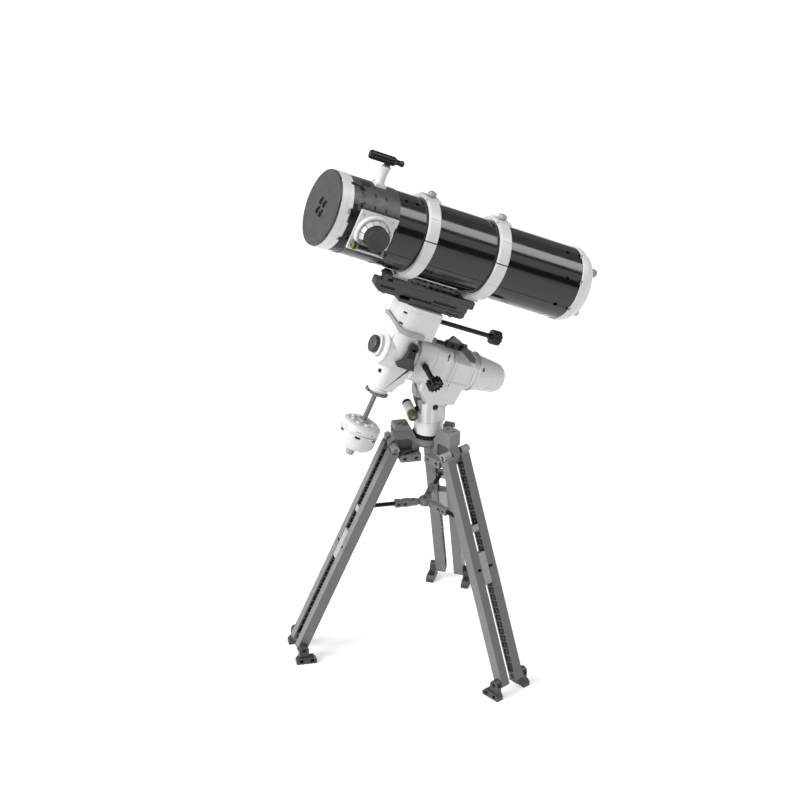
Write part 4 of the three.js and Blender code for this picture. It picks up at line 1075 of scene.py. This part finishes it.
def focuser():
    """White square plate with a raised collar, petals inside it, the drawtube, the eyepiece and the knobs."""
    x = FOCUSER_X
    corners = ((-1, -1), (1, -1), (1, 1), (-1, 1))
    plate = prism([(x + 21.5 * u, 21.5 * v) for u, v in corners], -43.2, -40.4)
    obj = new_object("focuser_plate", plate, TUBE)
    pad = new_object("pad", prism([(x + 17 * u, 17 * v) for u, v in corners], -41, -34), TUBE)
    cut(pad, TUBE, rod((x - 40, 0, 0), (x + 40, 0, 0), 40.3, sides=FINE))
    combine(obj, pad, "UNION")
    profile = [(16.8, -43), (20.4, -43), (20.0, -46.8), (19.4, -47.6), (17.6, -47.6), (16.8, -47)]
    collar = new_object("collar", moved(lathe(profile, "Y", closed=True), x), TUBE)
    cut(collar, TUBE, box((x - 30, x + 30), (-60, -43.2), (-30, -10.6)))
    combine(obj, collar, "UNION")
    marks = merge(box((x + 20.6, x + 23), (-45, -40), (6, 13)),
                  box((x + 14, x + 17), (-43.6, -42.5), (16.5, 19)),
                  *[rod((x + 17.5 * s, -43.6, -17.5 * s), (x + 17.5 * s, -42.2, -17.5 * s), 1.5, sides=28)
                    for s in (-1, 1)])
    cut(obj, TUBE, rod((x, -60, 0), (x, 0, 0), 12.6, sides=96), marks)
    lines = (box((x - 22, x - 12), (-43.5, -42.95), (-0.1, 0.1)),
             box(about(x, 22), (-43.4, -43.0), (20.1, 20.3)))
    soften(obj, 0.35, TUBE, lines)
    finish_piece(obj, "tube", WHITE, ("focuser_base",))

    petals = []
    for k in (0, 1, 2, 3, 4, 5, 6, 11):
        angles = [k * 30 + part for part in (1.2, 15, 28.8)]
        facet = [circle_point(16.9, angle * DEG) for angle in angles]
        facet += [circle_point(12.75, angle * DEG) for angle in reversed(angles)]
        petal = prism([(x + u, v) for u, v in facet], -46.6 + (k % 2) * 0.5, -43.1)
        for vert in petal.verts:
            if vert.co.y < -45 and math.hypot(vert.co.x - x, vert.co.z) < 14:
                vert.co.y -= 4.9
        petals.append(petal)
    # the petals take the lighter copy of light grey: painted light against the shade inside the collar
    on_tube("focuser_petals", merge(*petals), LIGHT_GREY_PAINTED_LIGHT)

    sleeve = moved(band(10.2, 12.2, -32, -50, "Y"), x)
    piece("drawtube_sleeve", sleeve, DARK, ("drawtube",), 0.25, body="drawtube", here=TUBE)
    barrel = lathe([(0, -38), (9.8, -38), (9.8, -50.3), (12.2, -50.3), (12.4, -50.6), (12.4, -60.9),
                    (11.8, -61.5), (0, -61.5)], "Y")
    # the eyepiece takes the darker copy of dark grey: painted shade
    piece("eyepiece_body", moved(barrel, x), EYEPIECE_PAINTED_SHADE, ("eyepiece",),
          cuts=(moved(band(12.1, 14, -53.2, -53.6, "Y"), x),), body="eyepiece", here=TUBE)

    add = riding("focus_axle", polar_at("focus_turn"))
    add("focus_axle_bar", axle_bar(-20, 20), BLACK, ("focus_axle",), 0.15)
    for name, start, end, radius, material in (
            ("near_tan", -20, -17.8, 3.6, OLIVE), ("black", -17.7, -15.8, 4.0, BLACK),
            ("far_tan", -15.7, -13.4, 3.8, OLIVE), ("rear_tan", 13.6, 16.6, 3.8, OLIVE),
            ("rear_black", 16.7, 20, 4.0, BLACK)):
        knob = lathe([(1.0, start), (radius - 0.3, start), (radius, start + 0.3), (radius, end - 0.3),
                      (radius - 0.3, end), (1.0, end)], "X", 48, closed=True)
        grips = round_cuts((start - 1, end + 1), 0.3, (radius - 0.35, radius + 1), range(0, 360, 45))
        add(f"focus_knob_{name}", knob, material, bevel=0.1, cuts=(merge(*grips),))


def finder():
    """The white stalk on the tube, and the black finder that swivels on it."""
    on_tube("finder_stalk_foot", box((-102, -89.8), (-8, 8), (37, 43)), WHITE, ("finder_stalk",), 0.35,
            cuts=(rod((-130, 0, 0), (-60, 0, 0), 40.5, sides=FINE),
                  box((-102.4, -100.9), (-8.4, 8.4), (42, 43.4))),
            engraved=(box((-96.1, -95.9), (-9, 9), (42.7, 43.4)),))
    stem = lathe([(0, 42.6), (5.3, 42.6), (5.3, 44.2), (4.5, 46.4), (4.5, 56), (5.1, 59.4), (5.1, 61.3),
                  (0, 61.3)], "Z", 72)
    on_tube("finder_stalk_stem", moved(stem, FINDER_X), WHITE, bevel=0.25)

    add = riding("finder", TUBE)
    points = []
    for angle in range(0, 360, 30):
        points += arc((0, FINDER_Z), 4.8, angle - 9, angle + 9, 3)
        points += arc((0, FINDER_Z), 4.25, angle + 12, angle + 18, 1)
    front = lathe([(0, -118), (3.2, -118), (3.3, -117.2), (4.3, -117.9), (4.8, -117.2), (4.8, -115.6),
                   (4.3, -115.2), (0, -115.2)], "X", 64)
    rear = lathe([(0, -91.4), (4.8, -91.4), (4.8, -90.2), (4.3, -89.6), (2.9, -86.4), (2.7, -82.6),
                  (3.3, -82.2), (3.3, -79.4), (2.9, -79), (1.6, -79), (1.5, -80), (0, -80)], "X", 64)
    add("finder_barrel", prism(points, -116.5, -91, "YZ"), BLACK, ("finder",), 0.2,
        joins=(moved(front, z=FINDER_Z), moved(rear, z=FINDER_Z)))
    boss = lathe([(0, 62.4), (3.3, 62.4), (3.7, 62.8), (3.7, 65.2), (0, 65.2)], "Z", 48)
    block = prism([(-101, 64.4), (-90, 64.4), (-88.4, 66.6), (-102.4, 66.6)], -3.6, 3.6)
    add("finder_boss", moved(boss, FINDER_X), BLACK, bevel=0.2, joins=(block,))


# ------------------------------------------------------------------ floor, light and camera
FLOOR_HALF = 16
FLOOR_COLOR, FLOOR_GLOW = (0.6, 0.6, 0.6, 1), 0.47
SKY_AXIS = (0.08, 0.35, 0.93)
SKY_FROM, SKY_TO = (-0.1, 0.03), (0.9, 0.42)     # (height along the axis, strength)
SUN_STRENGTH, SUN_ANGLE, SUN_FROM = 4.2, 38 * DEG, (-1.0, -0.14, 0.75)
SOFTBOXES = {"streak_box": (12.4, (1.2, 0.92), 5.6), "side_box": (47.0, (1.2, 0.8), 1.1)}
SOFTBOX_AFT, SOFTBOX_REACH = 1, 2
VIEW_AZIMUTH, VIEW_ELEVATION, VIEW_ROLL, VIEW_DISTANCE = -19.77 * DEG, 26.46 * DEG, 2.18 * DEG, 2.45
VIEW_SHIFT = (-0.0522, -0.0034, 0.0140)
LENS, SENSOR = 102.6, 36


def white_floor():
    floor = new_object("studio_floor", box((-FLOOR_HALF, FLOOR_HALF), (-FLOOR_HALF, FLOOR_HALF), (-0.02, 0)),
                       Matrix.Identity(4))
    material = bpy.data.materials.new("studio_floor")
    material.use_nodes = True
    shader = material.node_tree.nodes["Principled BSDF"]
    shader.inputs["Base Color"].default_value = FLOOR_COLOR
    shader.inputs["Roughness"].default_value = 0.9
    shader.inputs["Specular IOR Level"].default_value = 0.1
    shader.inputs["Emission Color"].default_value = (1, 1, 1, 1)
    shader.inputs["Emission Strength"].default_value = FLOOR_GLOW
    floor.data.materials.append(material)


def sky():
    """A sky that is bright above and behind the telescope."""
    world = bpy.data.worlds.new("studio")
    bpy.context.scene.world = world
    world.use_nodes = True
    nodes, links = world.node_tree.nodes, world.node_tree.links
    where = nodes.new("ShaderNodeTexCoord")
    along = nodes.new("ShaderNodeVectorMath")
    along.operation = "DOT_PRODUCT"
    along.inputs[1].default_value = SKY_AXIS
    links.new(where.outputs["Generated"], along.inputs[0])
    ramp = nodes.new("ShaderNodeMapRange")
    ramp.interpolation_type = "SMOOTHSTEP"
    for name, (height, strength) in (("Min", SKY_FROM), ("Max", SKY_TO)):
        ramp.inputs["From " + name].default_value = height
        ramp.inputs["To " + name].default_value = strength
    links.new(along.outputs["Value"], ramp.inputs["Value"])
    links.new(ramp.outputs["Result"], nodes["Background"].inputs["Strength"])
    nodes["Background"].inputs["Color"].default_value = (1, 1, 1, 1)


def lights():
    """A soft sun from the left, and two softboxes that draw the streaks along the tube."""
    sun = bpy.data.lights.new("sun", "SUN")
    sun.energy, sun.angle = SUN_STRENGTH, SUN_ANGLE
    linked("sun", sun).rotation_euler = (-Vector(SUN_FROM)).to_track_quat("-Z", "Y").to_euler()
    aim = TUBE @ Vector((SOFTBOX_AFT / MM, 0, 0))
    for name, (degrees, size, radiance) in SOFTBOXES.items():
        angle = degrees * DEG
        toward = (TUBE.to_3x3() @ Vector((0, -math.sin(angle), math.cos(angle)))).normalized()
        light = bpy.data.lights.new(name, "AREA")
        light.shape = "RECTANGLE"
        light.size, light.size_y = size
        light.energy = radiance * math.pi * light.size * light.size_y
        across = toward.cross(POLAR_X)
        linked(name, light).matrix_world = facing(aim + toward * SOFTBOX_REACH, POLAR_X, across, toward)


def facing(origin, right, up, back):
    return Matrix.Translation(origin) @ Matrix((right, up, back)).transposed().to_4x4()


def camera():
    """The photo's view: long lens from the front left, a little over 26 degrees above the horizon."""
    low, high = (Vector(corner) for corner in cad_bounds)
    aim = (low + high) / 2 + Vector(VIEW_SHIFT)
    level = math.cos(VIEW_ELEVATION)
    back = Vector((math.sin(VIEW_AZIMUTH) * level, -math.cos(VIEW_AZIMUTH) * level, math.sin(VIEW_ELEVATION)))
    right = Vector((math.cos(VIEW_AZIMUTH), math.sin(VIEW_AZIMUTH), 0))
    up = back.cross(right)
    turned_right = right * math.cos(VIEW_ROLL) + up * math.sin(VIEW_ROLL)
    turned_up = up * math.cos(VIEW_ROLL) - right * math.sin(VIEW_ROLL)
    data = bpy.data.cameras.new("camera")
    data.lens, data.sensor_width = LENS, SENSOR
    obj = linked("camera", data)
    obj.matrix_world = facing(aim + back * VIEW_DISTANCE, turned_right, turned_up, back)
    bpy.context.scene.camera = obj


for build in (camera, stand, mount_base, bolt, ra_housing, ra_controls, dec_housing, dec_head, head_controls,
              counterweight, saddle, dovetail):
    build()
ring("front", -34.5)
ring("rear", 52.0)
for build in (optical_tube, front_end, rear_end, focuser, finder):
    build()
moulded("polar_axle", "right_ascension", DARK)
moulded("secondary_holder", "tube", BLACK, 0.15)
for build in (white_floor, sky, lights):
    build()
bpy.context.scene.view_settings.view_transform = "Standard"
